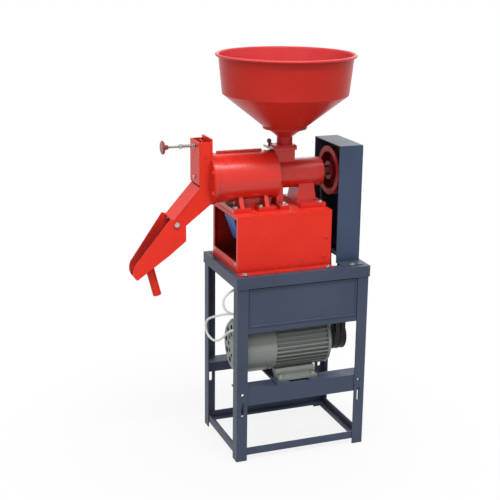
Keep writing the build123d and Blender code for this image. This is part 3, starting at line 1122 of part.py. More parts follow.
def coil_place():
    return (sum(TERMINAL_X) / 2, sum(TERMINAL_Y) / 2, TERMINAL_Z + TERMINAL_HEIGHT + TERMINAL_LID)


def bend_radii(points):
    radii = []
    for a, b, c in zip(points, points[1:], points[2:]):
        one, two = Vector(*b) - Vector(*a), Vector(*c) - Vector(*b)
        turn = radians(one.get_angle(two))
        radii.append(0.45 * min(one.length, two.length) / tan(turn / 2))
    return radii


def lead_route():
    start = (TERMINAL_X[0] - SLIDE_GAP, LEAD_Y, lead_z())
    cx, cy, cz = coil_place()
    outer = COIL_MIDDLE_RADIUS + LEAD_RADIUS * (COIL_TURNS_WIDE - 1)
    end = (cx - outer * cos(radians(COIL_ENTRY)), cy - outer * sin(radians(COIL_ENTRY)),
           cz + LEAD_RADIUS * (2 * COIL_TURNS_HIGH - 1))
    return [start, *LEAD_POINTS, end]


def mains_lead():
    points = lead_route()
    radii = bend_radii(points)
    print("lead bend radii", [round(r, 1) for r in radii])
    path = FilletPolyline(*points, radius=radii)
    print("lead length", round(path.length))
    return sweep(Plane(path @ 0, z_dir=path % 0) * Circle(LEAD_RADIUS), path=path)


def lead_coil():
    cx, cy, cz = coil_place()
    wide = 2 * LEAD_RADIUS * COIL_TURNS_WIDE
    high = 2 * LEAD_RADIUS * COIL_TURNS_HIGH
    section = Plane.XZ * Pos(COIL_MIDDLE_RADIUS, high / 2) * RectangleRounded(wide, high, LEAD_RADIUS * 0.95)
    return Pos(cx, cy, cz) * revolve(section, axis=Axis.Z)


def mains_plug():
    """Laid on the coil, its tail to the left and its two flat pins to the right."""
    cx, cy, cz = coil_place()
    x, y = cx + PLUG_OFFSET[0], cy + PLUG_OFFSET[1]
    z = cz + 2 * LEAD_RADIUS * COIL_TURNS_HIGH
    (waist, length), (narrow, wide) = PLUG_LENGTH, PLUG_HALF_WIDTH
    body = [(x, y - narrow), (x + waist, y - wide), (x + length, y - wide), (x + length, y + wide),
            (x + waist, y + wide), (x, y + narrow)]
    plug = fillet(outline_xy(body, (z, z + PLUG_HEIGHT)).edges().filter_by(Axis.Z), SHEET)
    middle = z + PLUG_HEIGHT / 2
    plug += x_rod(LEAD_RADIUS + THIN_SHEET, (x - PLUG_TAIL, x), y, middle)
    pin_length, pin_width, pin_gauge = PLUG_PIN
    for side in (-PLUG_PIN_Y, PLUG_PIN_Y):
        plug += block((x + length, x + length + pin_length),
                      (y + side - pin_width / 2, y + side + pin_width / 2),
                      (middle - pin_gauge / 2, middle + pin_gauge / 2))
    return plug


PIECES = {
    "leg_front_left": leg(-1, -1), "leg_front_right": leg(1, -1),
    "leg_rear_left": leg(-1, 1), "leg_rear_right": leg(1, 1),
    "top_rail_front": top_rail_long(-1), "top_rail_rear": top_rail_long(1),
    "top_rail_left": top_rail_short(-1), "top_rail_right": top_rail_short(1),
    "low_rail_front": low_rail_long(-1), "low_rail_rear": low_rail_long(1),
    "low_rail_left": low_rail_short(-1), "low_rail_right": low_rail_short(1),
    "motor_rail_front": motor_rail(-1), "motor_rail_rear": motor_rail(1),
    "motor_bars": motor_bars(), "apron_panel": apron_panel(), "frame_bolts": frame_bolts(),
    "bran_box": bran_box(), "bran_funnel": bran_funnel(),
    "milling_barrel": milling_barrel(), "barrel_cover": barrel_cover(), "screw_housing": screw_housing(),
    "bran_sieve": bran_sieve(), "rice_knife": rice_knife(), "shaft_bearings": shaft_bearings(),
    "mill_bolts": mill_bolts(),
    "hopper_bowl": hopper_bowl(), "hopper_throat": hopper_throat(),
    "gate_plate": gate_plate(), "gate_knob": gate_knob(),
    "outlet_housing": outlet_housing(), "outlet_cover": outlet_cover(), "pressure_door": pressure_door(),
    "thrust_washer": thrust_washer(), "pressure_screw": pressure_screw(), "pressure_knob": pressure_knob(),
    "spring_nut": spring_nut(), "pressure_spring": pressure_spring(),
    "lower_chute": lower_chute(), "chute_screen": chute_screen(), "chute_bolts": chute_bolts(),
    "main_shaft": main_shaft(), "feed_screw": feed_screw(), "milling_roller": milling_roller(),
    "mill_pulley": mill_pulley(), "drive_belts": drive_belts(), "belt_guard": belt_guard(),
    "motor_housing": motor_housing(), "motor_end_bell": motor_end_bell(), "fan_cowl": fan_cowl(),
    "terminal_box": terminal_box(), "cable_gland": cable_gland(), "motor_bolts": motor_bolts(),
    "motor_rotor": motor_rotor(), "motor_pulley": motor_pulley(), "cooling_fan": cooling_fan(),
    "mains_lead": mains_lead(), "lead_coil": lead_coil(), "mains_plug": mains_plug(),
}
CORD_NODES = ("mains_lead", "lead_coil", "mains_plug")


def as_shape(piece):
    if isinstance(piece, list):
        return Compound([solid for one in piece for solid in one.solids()])
    return piece


def middle_of_machine():
    """The point on the floor under the middle of everything but the lead."""
    boxes = [as_shape(piece).bounding_box() for name, piece in PIECES.items() if name not in CORD_NODES]
    low = [min(box.min.X for box in boxes), min(box.min.Y for box in boxes), min(box.min.Z for box in boxes)]
    high = [max(box.max.X for box in boxes), max(box.max.Y for box in boxes)]
    return ((low[0] + high[0]) / 2, (low[1] + high[1]) / 2, low[2])


ORIGIN = middle_of_machine()

if __name__ == "__main__":
    os.makedirs("parts", exist_ok=True)
    for name, piece in PIECES.items():
        export_step(Pos(-ORIGIN[0], -ORIGIN[1], -ORIGIN[2]) * as_shape(piece), f"parts/{name}.step")
    print("origin", [round(value, 3) for value in ORIGIN])
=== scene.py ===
import math

import bmesh
import bpy
from mathutils import Matrix, Quaternion, Vector


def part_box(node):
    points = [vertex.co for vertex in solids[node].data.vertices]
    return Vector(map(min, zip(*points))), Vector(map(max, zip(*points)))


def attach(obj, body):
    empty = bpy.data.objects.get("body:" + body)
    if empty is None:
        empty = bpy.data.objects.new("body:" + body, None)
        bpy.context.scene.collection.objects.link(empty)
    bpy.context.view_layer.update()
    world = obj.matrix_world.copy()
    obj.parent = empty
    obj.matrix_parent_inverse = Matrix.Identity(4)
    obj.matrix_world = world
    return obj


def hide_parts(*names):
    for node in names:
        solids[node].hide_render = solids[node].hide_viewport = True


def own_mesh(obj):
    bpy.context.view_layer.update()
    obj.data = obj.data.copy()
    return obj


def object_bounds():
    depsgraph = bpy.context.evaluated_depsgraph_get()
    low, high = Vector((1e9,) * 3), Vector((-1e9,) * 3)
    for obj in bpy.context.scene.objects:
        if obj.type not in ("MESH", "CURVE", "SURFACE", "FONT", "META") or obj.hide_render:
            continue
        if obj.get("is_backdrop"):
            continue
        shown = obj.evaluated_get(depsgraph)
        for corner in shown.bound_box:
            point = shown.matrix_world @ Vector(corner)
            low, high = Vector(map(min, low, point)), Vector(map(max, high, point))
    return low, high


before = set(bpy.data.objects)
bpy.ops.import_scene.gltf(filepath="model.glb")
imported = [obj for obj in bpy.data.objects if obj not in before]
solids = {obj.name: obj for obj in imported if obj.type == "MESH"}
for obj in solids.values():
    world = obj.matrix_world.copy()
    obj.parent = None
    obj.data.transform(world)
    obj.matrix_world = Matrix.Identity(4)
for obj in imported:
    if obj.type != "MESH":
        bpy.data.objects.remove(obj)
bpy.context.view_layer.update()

# Studio
# A white sweep of floor in a room that is brightest overhead. A long narrow soft box high in front
# draws the bright band along the barrel, and two wide weak ones light the front and the back.
EYE = Vector((-1.06072, -2.81349, 1.45466))
AIM = Vector((0.01852, 0.0, 0.58318))
ROLL = math.radians(0.66)
SENSOR_WIDTH, FOCAL_LENGTH = 36.0, 79.40
ROOM_TINT, PAPER_WHITE = (0.96, 0.98, 1.0, 1.0), (1.0, 1.0, 1.0, 1.0)
ROOM_AT_HORIZON, ROOM_OVERHEAD = 0.26, 1.05
FLOOR_RADIUS, FLOOR_DROP = 40.0, 0.0005
FLOOR_GREY = (0.60, 0.60, 0.60, 1.0)
WHITER_FROM, WHITE_BEYOND, WHITE_AT_THE_FEET = 0.25, 0.85, 0.86

lens = bpy.data.cameras.new("studio_camera")
lens.sensor_width = SENSOR_WIDTH
lens.lens = FOCAL_LENGTH
camera = bpy.data.objects.new("studio_camera", lens)
camera.location = EYE
camera.rotation_mode = "QUATERNION"
camera.rotation_quaternion = (AIM - EYE).to_track_quat("-Z", "Y") @ Quaternion((0, 0, 1), ROLL)
bpy.context.collection.objects.link(camera)
bpy.context.scene.camera = camera
bpy.context.scene.view_settings.view_transform = "Standard"


def soft_box(name, place, aim, width, height, watts, tint):
    lamp = bpy.data.lights.new(name, "AREA")
    lamp.shape = "RECTANGLE"
    lamp.size = width
    lamp.size_y = height
    lamp.energy = watts
    lamp.color = tint
    box = bpy.data.objects.new(name, lamp)
    box.location = place
    box.rotation_euler = (Vector(aim) - Vector(place)).to_track_quat("-Z", "Y").to_euler()
    bpy.context.collection.objects.link(box)


soft_box("high_box", place=(-0.4, -2.3, 5.4), aim=(0.0, 0.0, 0.75), width=4.6, height=0.42,
         watts=250.0, tint=(1.0, 0.985, 0.965))
soft_box("fill_box", place=(-2.2, -2.6, 1.5), aim=(0.0, 0.0, 0.65), width=1.8, height=1.8,
         watts=10.0, tint=(0.98, 0.99, 1.0))
soft_box("back_box", place=(1.6, 2.4, 2.2), aim=(0.0, 0.0, 0.7), width=1.6, height=1.6,
         watts=14.0, tint=(1.0, 1.0, 1.0))


def seen_by_eye_or_mirror(tree):
    """1 for rays that come from the camera, or by way of a glossy or clear surface."""
    path = tree.nodes.new("ShaderNodeLightPath")
    either = tree.nodes.new("ShaderNodeMath")
    either.operation = "MAXIMUM"
    tree.links.new(path.outputs["Is Camera Ray"], either.inputs[0])
    tree.links.new(path.outputs["Is Glossy Ray"], either.inputs[1])
    any_of = tree.nodes.new("ShaderNodeMath")
    any_of.operation = "MAXIMUM"
    tree.links.new(either.outputs[0], any_of.inputs[0])
    tree.links.new(path.outputs["Is Transmission Ray"], any_of.inputs[1])
    return any_of.outputs[0]


sky = bpy.data.worlds.new("studio_white")
bpy.context.scene.world = sky
sky.use_nodes = True
tree = sky.node_tree
tree.nodes.clear()
room = tree.nodes.new("ShaderNodeBackground")
room.inputs["Color"].default_value = ROOM_TINT
toward = tree.nodes.new("ShaderNodeTexCoord")
rise = tree.nodes.new("ShaderNodeSeparateXYZ")
bright = tree.nodes.new("ShaderNodeMapRange")
bright.inputs["To Min"].default_value = ROOM_AT_HORIZON
bright.inputs["To Max"].default_value = ROOM_OVERHEAD
tree.links.new(toward.outputs["Generated"], rise.inputs[0])
tree.links.new(rise.outputs["Z"], bright.inputs["Value"])
tree.links.new(bright.outputs[0], room.inputs["Strength"])
paper = tree.nodes.new("ShaderNodeBackground")
paper.inputs["Color"].default_value = PAPER_WHITE
paper.inputs["Strength"].default_value = 1.0
pick = tree.nodes.new("ShaderNodeMixShader")
sky_out = tree.nodes.new("ShaderNodeOutputWorld")
tree.links.new(seen_by_eye_or_mirror(tree), pick.inputs[0])
tree.links.new(room.outputs[0], pick.inputs[1])
tree.links.new(paper.outputs[0], pick.inputs[2])
tree.links.new(pick.outputs[0], sky_out.inputs["Surface"])

floor_mesh = bpy.data.meshes.new("floor")
floor_shape = bmesh.new()
bmesh.ops.create_circle(floor_shape, cap_ends=True, radius=FLOOR_RADIUS, segments=96)
floor_shape.to_mesh(floor_mesh)
floor_shape.free()
floor = bpy.data.objects.new("floor", floor_mesh)
floor.location = (0.0, 0.0, -FLOOR_DROP)
bpy.context.collection.objects.link(floor)
floor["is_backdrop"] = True

floor_paper = bpy.data.materials.new("floor_paper")
floor_paper.use_nodes = True
tree = floor_paper.node_tree
tree.nodes.clear()
matt = tree.nodes.new("ShaderNodeBsdfDiffuse")
matt.inputs["Color"].default_value = FLOOR_GREY
glow = tree.nodes.new("ShaderNodeEmission")
place = tree.nodes.new("ShaderNodeTexCoord")
reach = tree.nodes.new("ShaderNodeVectorMath")
reach.operation = "LENGTH"
fade = tree.nodes.new("ShaderNodeMapRange")
fade.interpolation_type = "SMOOTHSTEP"
fade.inputs["From Min"].default_value = WHITER_FROM
fade.inputs["From Max"].default_value = WHITE_BEYOND
fade.inputs["To Min"].default_value = WHITE_AT_THE_FEET
share = tree.nodes.new("ShaderNodeMath")
share.operation = "MULTIPLY"
blend = tree.nodes.new("ShaderNodeMixShader")
floor_out = tree.nodes.new("ShaderNodeOutputMaterial")
tree.links.new(place.outputs["Object"], reach.inputs[0])
tree.links.new(reach.outputs["Value"], fade.inputs["Value"])
tree.links.new(fade.outputs[0], share.inputs[0])
tree.links.new(seen_by_eye_or_mirror(tree), share.inputs[1])
tree.links.new(share.outputs[0], blend.inputs[0])
tree.links.new(matt.outputs[0], blend.inputs[1])
tree.links.new(glow.outputs[0], blend.inputs[2])
tree.links.new(blend.outputs[0], floor_out.inputs["Surface"])
floor_mesh.materials.append(floor_paper)


# Stand
# Four legs and eight rails of hot-rolled angle iron, mitred and arc welded, with a pressed apron
# behind the front legs. All of it is sprayed in a satin blue-grey paint after welding.
FRAME_BLUE, FRAME_SHADE = (0.050, 0.066, 0.108), (0.038, 0.051, 0.086)
# Colour of the frame's hollows: grime with painted shade.
FRAME_GRIME_AND_SHADE, MILL_SCALE = (0.016, 0.018, 0.022), (0.105, 0.112, 0.125)
DUST = (0.62, 0.58, 0.50)
# The grime and shade share is how far hollows go towards their dark colour: grime with painted shade.
FLECK_SHARE, GRIME_AND_SHADE_SHARE, DUST_SHARE, DUST_DULLS = 0.12, 0.85, 0.05, 1.2
WORN_EDGE, WORN_SPREAD = 0.0016, 0.16
MIX_SHARE, MIX_ONE, MIX_TWO, MIX_RESULT = 0, 6, 7, 2


class Finish:
    """A material in the making: its nodes, and the surface they lead to."""

    def __init__(self, name):
        self.material = bpy.data.materials.new(name)
        self.material.use_nodes = True
        self.tree = self.material.node_tree
        self.surface = self.tree.nodes["Principled BSDF"]
        self.place = self.tree.nodes.new("ShaderNodeTexCoord").outputs["Object"]

    def add(self, kind, **settings):
        node = self.tree.nodes.new(kind)
        for name, value in settings.items():
            setattr(node, name, value)
        return node

    def join(self, out, into):
        self.tree.links.new(out, into)

    def fix(self, **values):
        for name, value in values.items():
            self.surface.inputs[name.replace("_", " ")].default_value = value

    def stretched(self, along):
        mapping = self.add("ShaderNodeMapping")
        mapping.inputs["Scale"].default_value = along
        self.join(self.place, mapping.inputs["Vector"])
        return mapping.outputs[0]

    def noise(self, scale, detail=2.0, rough=0.5, where=None):
        node = self.add("ShaderNodeTexNoise")
        node.inputs["Scale"].default_value = scale
        node.inputs["Detail"].default_value = detail
        node.inputs["Roughness"].default_value = rough
        self.join(where or self.place, node.inputs["Vector"])
        return node.outputs["Fac"]

    def between(self, value, low, high, to_low=0.0, to_high=1.0):
        node = self.add("ShaderNodeMapRange")
        node.inputs["From Min"].default_value = low
        node.inputs["From Max"].default_value = high
        node.inputs["To Min"].default_value = to_low
        node.inputs["To Max"].default_value = to_high
        self.join(value, node.inputs["Value"])
        return node.outputs[0]

    def sums(self, operation, a, b):
        node = self.add("ShaderNodeMath", operation=operation)
        for socket, value in zip(node.inputs, (a, b)):
            if isinstance(value, (int, float)):
                socket.default_value = value
            else:
                self.join(value, socket)
        return node.outputs[0]

    def mixed(self, share, one, two):
        """Colour one where the share is 0, colour two where it is 1."""
        node = self.add("ShaderNodeMix", data_type="RGBA")
        self.join(share, node.inputs[MIX_SHARE])
        for socket, value in ((node.inputs[MIX_ONE], one), (node.inputs[MIX_TWO], two)):
            if isinstance(value, tuple):
                socket.default_value = (*value, 1.0)
            else:
                self.join(value, socket)
        return node.outputs[MIX_RESULT]

    def rounded(self, radius):
        node = self.add("ShaderNodeBevel", samples=4)
        node.inputs["Radius"].default_value = radius
        return node.outputs[0]

    def bumps(self, layers, normal):
        """Height layers, each (value, depth in metres), one on the other."""
        for value, depth in layers:
            node = self.add("ShaderNodeBump")
            node.inputs["Strength"].default_value = 1.0
            node.inputs["Distance"].default_value = depth
            self.join(value, node.inputs["Height"])
            self.join(normal, node.inputs["Normal"])
            normal = node.outputs[0]
        self.join(normal, self.surface.inputs["Normal"])

    def sharp_edges(self, radius, spread):
        """1 along the sharp edges of a piece, 0 on its faces."""
        geometry = self.add("ShaderNodeNewGeometry")
        dot = self.add("ShaderNodeVectorMath", operation="DOT_PRODUCT")
        self.join(self.rounded(radius), dot.inputs[0])
        self.join(geometry.outputs["Normal"], dot.inputs[1])
        return self.between(dot.outputs["Value"], 1.0, 1.0 - spread)

    def shade_in_hollows(self, reach):
        """1 deep in the hollows of a piece, 0 on its open faces: the mask of the painted shade and
        grime in hollows.
        """
        node = self.add("ShaderNodeAmbientOcclusion", samples=8, only_local=True)
        node.inputs["Distance"].default_value = reach
        return self.between(node.outputs["AO"], 0.80, 0.20)

    def facing_up(self, low=0.35, high=1.0):
        """1 where the surface looks up, 0 where it looks sideways or down."""
        geometry = self.add("ShaderNodeNewGeometry")
        split = self.add("ShaderNodeSeparateXYZ")
        self.join(geometry.outputs["Normal"], split.inputs[0])
        return self.between(split.outputs["Z"], low, high)

    def lay_colour_over(self, share, colour):
        """Lays a colour, here a painted sheen, over the colour that the surface has so far."""
        socket = self.surface.inputs["Base Color"]
        self.join(self.mixed(share, socket.links[0].from_socket, colour), socket)


def sprayed_paint(name, colour, shade, worn, grime_and_shade, gloss, peel, sand, wear, hollow,
                  edge=0.0009, wave=0.0006, specular=0.5):
    """Sprayed paint: its tone drifts with the coat's thickness, it has orange peel over the waves and
    sand of the metal, it is rubbed thin on sharp edges, dust settles on it, and its hollows are
    darkened with grime and painted shade."""
    paint = Finish(name)
    drift = paint.noise(scale=5.0, detail=3.0, rough=0.55)
    fine = paint.noise(scale=90.0, detail=3.0, rough=0.6)
    rubbed = paint.noise(scale=60.0, detail=4.0, rough=0.7)
    settled = paint.noise(scale=22.0, detail=5.0, rough=0.65)

    tone = paint.mixed(paint.between(drift, 0.34, 0.68), shade, colour)
    tone = paint.mixed(paint.between(fine, 0.3, 0.7, 0.0, FLECK_SHARE), tone, shade)
    edges = paint.sharp_edges(WORN_EDGE, WORN_SPREAD)
    scuffs = paint.sums("MULTIPLY", edges, paint.between(rubbed, 0.5, 0.66))
    tone = paint.mixed(paint.sums("MULTIPLY", scuffs, wear), tone, worn)
    # Hollows are darkened towards the grime colour: grime with painted shade.
    tone = paint.mixed(paint.sums("MULTIPLY", paint.shade_in_hollows(hollow), GRIME_AND_SHADE_SHARE), tone, grime_and_shade)
    film = paint.between(settled, 0.42, 0.75, 0.0, DUST_SHARE)
    dust = paint.sums("MULTIPLY", paint.facing_up(), film)
    paint.join(paint.mixed(dust, tone, DUST), paint.surface.inputs["Base Color"])

    rough = paint.between(fine, 0.25, 0.75, gloss - 0.05, gloss + 0.07)
    rough = paint.sums("ADD", rough, paint.sums("MULTIPLY", dust, DUST_DULLS))
    paint.join(rough, paint.surface.inputs["Roughness"])
    layers = [(paint.noise(scale=9.0), wave), (paint.noise(scale=420.0), peel),
              (paint.noise(scale=950.0, detail=3.0, rough=0.7), sand)]
    paint.bumps(layers, paint.rounded(edge))
    paint.fix(Specular_IOR_Level=specular)
    return paint


def dress(finish, *names):
    for name in names:
        piece = solids[name]
        piece.data.materials.clear()
        piece.data.materials.append(finish.material)


frame_paint = sprayed_paint("frame_paint", FRAME_BLUE, FRAME_SHADE, MILL_SCALE, FRAME_GRIME_AND_SHADE,
                            gloss=0.44, peel=0.00005, sand=0.00003, wear=0.55, hollow=0.03,
                            specular=0.26)
LEGS = [f"leg_{a}_{b}" for a in ("front", "rear") for b in ("left", "right")]
RAILS = [f"{kind}_rail_{side}" for kind in ("top", "low")
         for side in ("front", "rear", "left", "right")]
MOTOR_SEAT = ("motor_rail_front", "motor_rail_rear", "motor_bars")
dress(frame_paint, *LEGS, *RAILS, *MOTOR_SEAT, "apron_panel")

SMOOTH_BELOW = math.radians(40.0)


def new_piece(name, shape, finish, body):
    """Makes a piece of the bmesh, names the finish it takes, and lets it ride on a body."""
    mesh = bpy.data.meshes.new(name)
    bmesh.ops.recalc_face_normals(shape, faces=shape.faces)
    for edge in shape.edges:
        edge.smooth = len(edge.link_faces) == 2 and edge.calc_face_angle(0.0) < SMOOTH_BELOW
    for face in shape.faces:
        face.smooth = True
    shape.to_mesh(mesh)
    shape.free()
    piece = bpy.data.objects.new(name, mesh)
    bpy.context.collection.objects.link(piece)
    mesh.materials.append(finish.material)
    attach(piece, body)
    return piece


def skin(shape, rings):
    """Covers a run of equal rings of points with faces."""
    for one, two in zip(rings, rings[1:]):
        for i in range(len(one)):
            j = (i + 1) % len(one)
            shape.faces.new((one[i], one[j], two[j], two[i]))


def close_ends(shape, rings):
    shape.faces.new(rings[0])
    shape.faces.new(list(reversed(rings[-1])))


RIPPLE, STEPS_PER_RIPPLE, BEAD_SIDES = 0.0032, 3, 8
RIPPLE_SWELL, UNEVEN_SWELL, UNEVEN_STEP, END_SWELL = 0.14, 0.06, 1.7, 0.55


def weld_run(shape, points, size):
    """A laid weld: a low rounded bead along the points, with the ripples of the moving pool."""
    path = []
    for a, b in zip(points, points[1:]):
        a, b = Vector(a), Vector(b)
        count = max(2, round((b - a).length / RIPPLE * STEPS_PER_RIPPLE))
        path += [a.lerp(b, i / count) for i in range(count)]
    path.append(Vector(points[-1]))
    rings = []
    for i, centre in enumerate(path):
        ahead = (path[min(i + 1, len(path) - 1)] - path[max(i - 1, 0)]).normalized()
        side = ahead.orthogonal().normalized()
        over = ahead.cross(side)
        ripple = RIPPLE_SWELL * math.cos(i * math.tau / STEPS_PER_RIPPLE)
        swell = 1.0 + ripple + UNEVEN_SWELL * math.sin(i * UNEVEN_STEP)
        if i in (0, len(path) - 1):
            swell *= END_SWELL
        ring = []
        for turn in range(BEAD_SIDES):
            angle = math.tau * turn / BEAD_SIDES
            out = side * math.cos(angle) + over * math.sin(angle)
            ring.append(shape.verts.new(centre + out * size * swell))
        rings.append(ring)
    skin(shape, rings)
    close_ends(shape, rings)


STAND_MIDDLE = (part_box("leg_front_left")[0].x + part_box("leg_front_right")[1].x) / 2


def from_stand(x, y, z):
    """A point in millimetres from the middle of the stand, at the height of the floor."""
    return Vector((x / 1000 + STAND_MIDDLE, y / 1000, z / 1000))


IRON_GAUGE = 0.003
TOP_BEAD, RAIL_BEAD, SHORT_OF_EDGE = 0.0016, 0.0015, 0.002
RAIL_WELD, SIDE_WELD = (0.003, 0.027), (0.024, 0.029)
rail_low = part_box("top_rail_front")[0].z
welds = bmesh.new()
for leg in LEGS:
    row, end = leg.split("_")[1:]
    low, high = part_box(leg)
    front = -1.0 if row == "front" else 1.0
    left = -1.0 if end == "left" else 1.0
    face_y = low.y if front < 0 else high.y
    face_x = low.x if left < 0 else high.x
    x_run = (low.x + SHORT_OF_EDGE, high.x - SHORT_OF_EDGE)
    y_run = (low.y + SHORT_OF_EDGE, high.y - SHORT_OF_EDGE)
    weld_run(welds, [(x, face_y, rail_low) for x in x_run], TOP_BEAD)
    weld_run(welds, [(face_x, y, rail_low) for y in y_run], TOP_BEAD)
    inside_x = face_x - left * IRON_GAUGE
    inside_y = face_y - front * IRON_GAUGE
    for rail in ("low_rail_" + row, "motor_rail_" + row):
        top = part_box(rail)[1].z
        weld_run(welds, [(inside_x - left * in_by, inside_y, top) for in_by in RAIL_WELD], RAIL_BEAD)
    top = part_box("low_rail_" + end)[1].z
    weld_run(welds, [(inside_x, inside_y - front * in_by, top) for in_by in SIDE_WELD], RAIL_BEAD)
new_piece("stand_welds", welds, frame_paint, "frame_and_mill")

# Motor
# A foot-mounted single-phase motor: a finned cast housing, a turned end bell, a pressed fan cowl and
# a terminal box on top, in satin grey-green paint. The feet are bolted to two flat bars.
MOTOR_GREEN, MOTOR_SHADE = (0.205, 0.228, 0.208), (0.162, 0.182, 0.166)
# The motor's hollow colour, also between its fins: grime with painted shade.
MOTOR_GRIME_AND_SHADE, CAST_BARE = (0.140, 0.158, 0.148), (0.30, 0.30, 0.29)
ZINC_BRIGHT, ZINC_DULL, ZINC_GRAIN = (0.54, 0.55, 0.54), (0.42, 0.41, 0.38), 0.00003
STEEL_EDGE, PLASTIC_EDGE = 0.0004, 0.0006

motor_paint = sprayed_paint("motor_paint", MOTOR_GREEN, MOTOR_SHADE, CAST_BARE, MOTOR_GRIME_AND_SHADE,
                            gloss=0.30, peel=0.00006, sand=0.00004, wear=0.5, hollow=0.012,
                            specular=0.46)
dress(motor_paint, "motor_housing", "motor_end_bell", "fan_cowl", "terminal_box")


def bare_steel(name, colour, tarnish, gloss, grain, along):
    """Turned or plated steel: fine tool marks one way, a patchy film of oil or passivation."""
    steel = Finish(name)
    film = steel.noise(scale=28.0, detail=4.0, rough=0.6)
    tone = steel.mixed(steel.between(film, 0.35, 0.7), colour, tarnish)
    steel.join(tone, steel.surface.inputs["Base Color"])
    marks = steel.noise(scale=1.0, detail=3.0, rough=0.6, where=steel.stretched(along))
    tooled = steel.between(marks, 0.3, 0.7, gloss - 0.06, gloss + 0.08)
    rough = steel.sums("ADD", tooled, steel.between(film, 0.3, 0.7, 0.0, 0.06))
    steel.join(rough, steel.surface.inputs["Roughness"])
    steel.bumps([(marks, grain)], steel.rounded(STEEL_EDGE))
    steel.fix(Metallic=1.0)
    return steel


def moulded(name, colour, shade, gloss, grain):
    """Moulded plastic or rubber: a fine grain, rubbed smoother here and there."""
    plastic = Finish(name)
    rub = plastic.noise(scale=35.0, detail=4.0, rough=0.6)
    tone = plastic.mixed(plastic.between(rub, 0.35, 0.7), colour, shade)
    plastic.join(tone, plastic.surface.inputs["Base Color"])
    rough = plastic.between(rub, 0.3, 0.7, gloss - 0.07, gloss + 0.08)
    plastic.join(rough, plastic.surface.inputs["Roughness"])
    pores = plastic.noise(scale=700.0, detail=3.0, rough=0.6)
    plastic.bumps([(pores, grain)], plastic.rounded(PLASTIC_EDGE))
    return plastic


zinc = bare_steel("zinc_plate", ZINC_BRIGHT, ZINC_DULL, gloss=0.34, grain=ZINC_GRAIN,
                  along=(300.0, 300.0, 300.0))
turned_steel = bare_steel("turned_steel", (0.55, 0.55, 0.55), (0.40, 0.39, 0.37), gloss=0.28,
                          grain=0.00004, along=(1400.0, 30.0, 30.0))
black_iron = sprayed_paint("black_iron", (0.020, 0.020, 0.022), (0.012, 0.012, 0.013),
                           worn=(0.20, 0.20, 0.20), grime_and_shade=(0.008, 0.008, 0.008), gloss=0.42,
                           peel=0.0001, sand=0.0001, wear=0.6, hollow=0.02)
fan_plastic = moulded("fan_plastic", (0.018, 0.018, 0.020), (0.030, 0.030, 0.032), gloss=0.5,
                      grain=0.00005)
dress(zinc, "motor_bolts", "frame_bolts")
dress(turned_steel, "motor_rotor")
dress(black_iron, "motor_pulley")
dress(fan_plastic, "cooling_fan", "cable_gland")


def turned(shape, place, profile, sides):
    """Turns a profile of (radius, height) about the local Z of a place."""
    rings = []
    for radius, height in profile:
        if radius == 0:
            rings.append([shape.verts.new(place @ Vector((0, 0, height)))])
            continue
        ring = []
        for i in range(sides):
            angle = math.tau * i / sides
            point = Vector((radius * math.cos(angle), radius * math.sin(angle), height))
            ring.append(shape.verts.new(place @ point))
        rings.append(ring)
    for one, two in zip(rings, rings[1:]):
        for i in range(sides):
            j = (i + 1) % sides
            corners = [one[i % len(one)], one[j % len(one)], two[j % len(two)], two[i % len(two)]]
            corners = list(dict.fromkeys(corners))
            if len(corners) > 2:
                shape.faces.new(corners)


def facing(place, direction):
    """A place whose local Z looks along a direction."""
    turn = Vector(direction).to_track_quat("Z", "Y")
    return Matrix.Translation(Vector(place)) @ turn.to_matrix().to_4x4()


BOX_FACES = ((0, 1, 2, 3), (4, 7, 6, 5), (0, 4, 5, 1), (1, 5, 6, 2), (2, 6, 7, 3), (3, 7, 4, 0))


def pan_head(shape, place, radius, slot=True):
    """A small domed screw head on its washer, with a narrow bar across it for the driver slot."""
    height = radius * 0.62
    profile = [(radius * 1.45, 0.0), (radius * 1.45, radius * 0.16), (radius, radius * 0.2),
               (radius, height * 0.55), (radius * 0.86, height * 0.86), (radius * 0.55, height),
               (0, height)]
    turned(shape, place, profile, sides=18)
    if slot:
        long, wide = radius * 0.8, radius * 0.11
        outline = ((-long, -wide), (long, -wide), (long, wide), (-long, wide))
        corners = [shape.verts.new(place @ Vector((x, y, z)))
                   for z in (height * 0.7, height * 1.04) for x, y in outline]
        for face in BOX_FACES:
            shape.faces.new([corners[i] for i in face])


def spoke(turn):
    """Outwards from the motor's axis, at an angle in degrees."""
    return Vector((0, math.cos(math.radians(turn)), math.sin(math.radians(turn))))


COWL_SCREW, COWL_SCREW_ANGLES, COWL_SCREW_INSET = 0.0034, (50.0, 130.0, 230.0, 310.0), 0.010
LID_SCREW, LID_SCREW_INSET = 0.0032, 0.009
BELL_SCREW, BELL_SCREW_ANGLES = 0.0042, (45.0, 135.0, 225.0, 315.0)
BELL_SCREW_RING, BELL_SCREW_INSET, BELL_SLOPE = 0.070, 0.0125, (0.841, 0.541)
SCREW_SUNK, BELL_SCREW_SUNK = 0.0001, 0.0006
bell_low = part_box("motor_end_bell")[0]
cowl_low, cowl_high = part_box("fan_cowl")
lid_low, lid_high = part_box("terminal_box")
motor_axis = (cowl_low + cowl_high) / 2
cowl_radius = (cowl_high.z - cowl_low.z) / 2
screws = bmesh.new()
for turn in COWL_SCREW_ANGLES:
    out = spoke(turn)
    ring_middle = Vector((cowl_high.x - COWL_SCREW_INSET, motor_axis.y, motor_axis.z))
    pan_head(screws, facing(ring_middle + out * (cowl_radius - SCREW_SUNK), out), COWL_SCREW)
for x in (lid_low.x + LID_SCREW_INSET, lid_high.x - LID_SCREW_INSET):
    for y in (lid_low.y + LID_SCREW_INSET, lid_high.y - LID_SCREW_INSET):
        pan_head(screws, facing((x, y, lid_high.z - SCREW_SUNK), (0, 0, 1)), LID_SCREW)
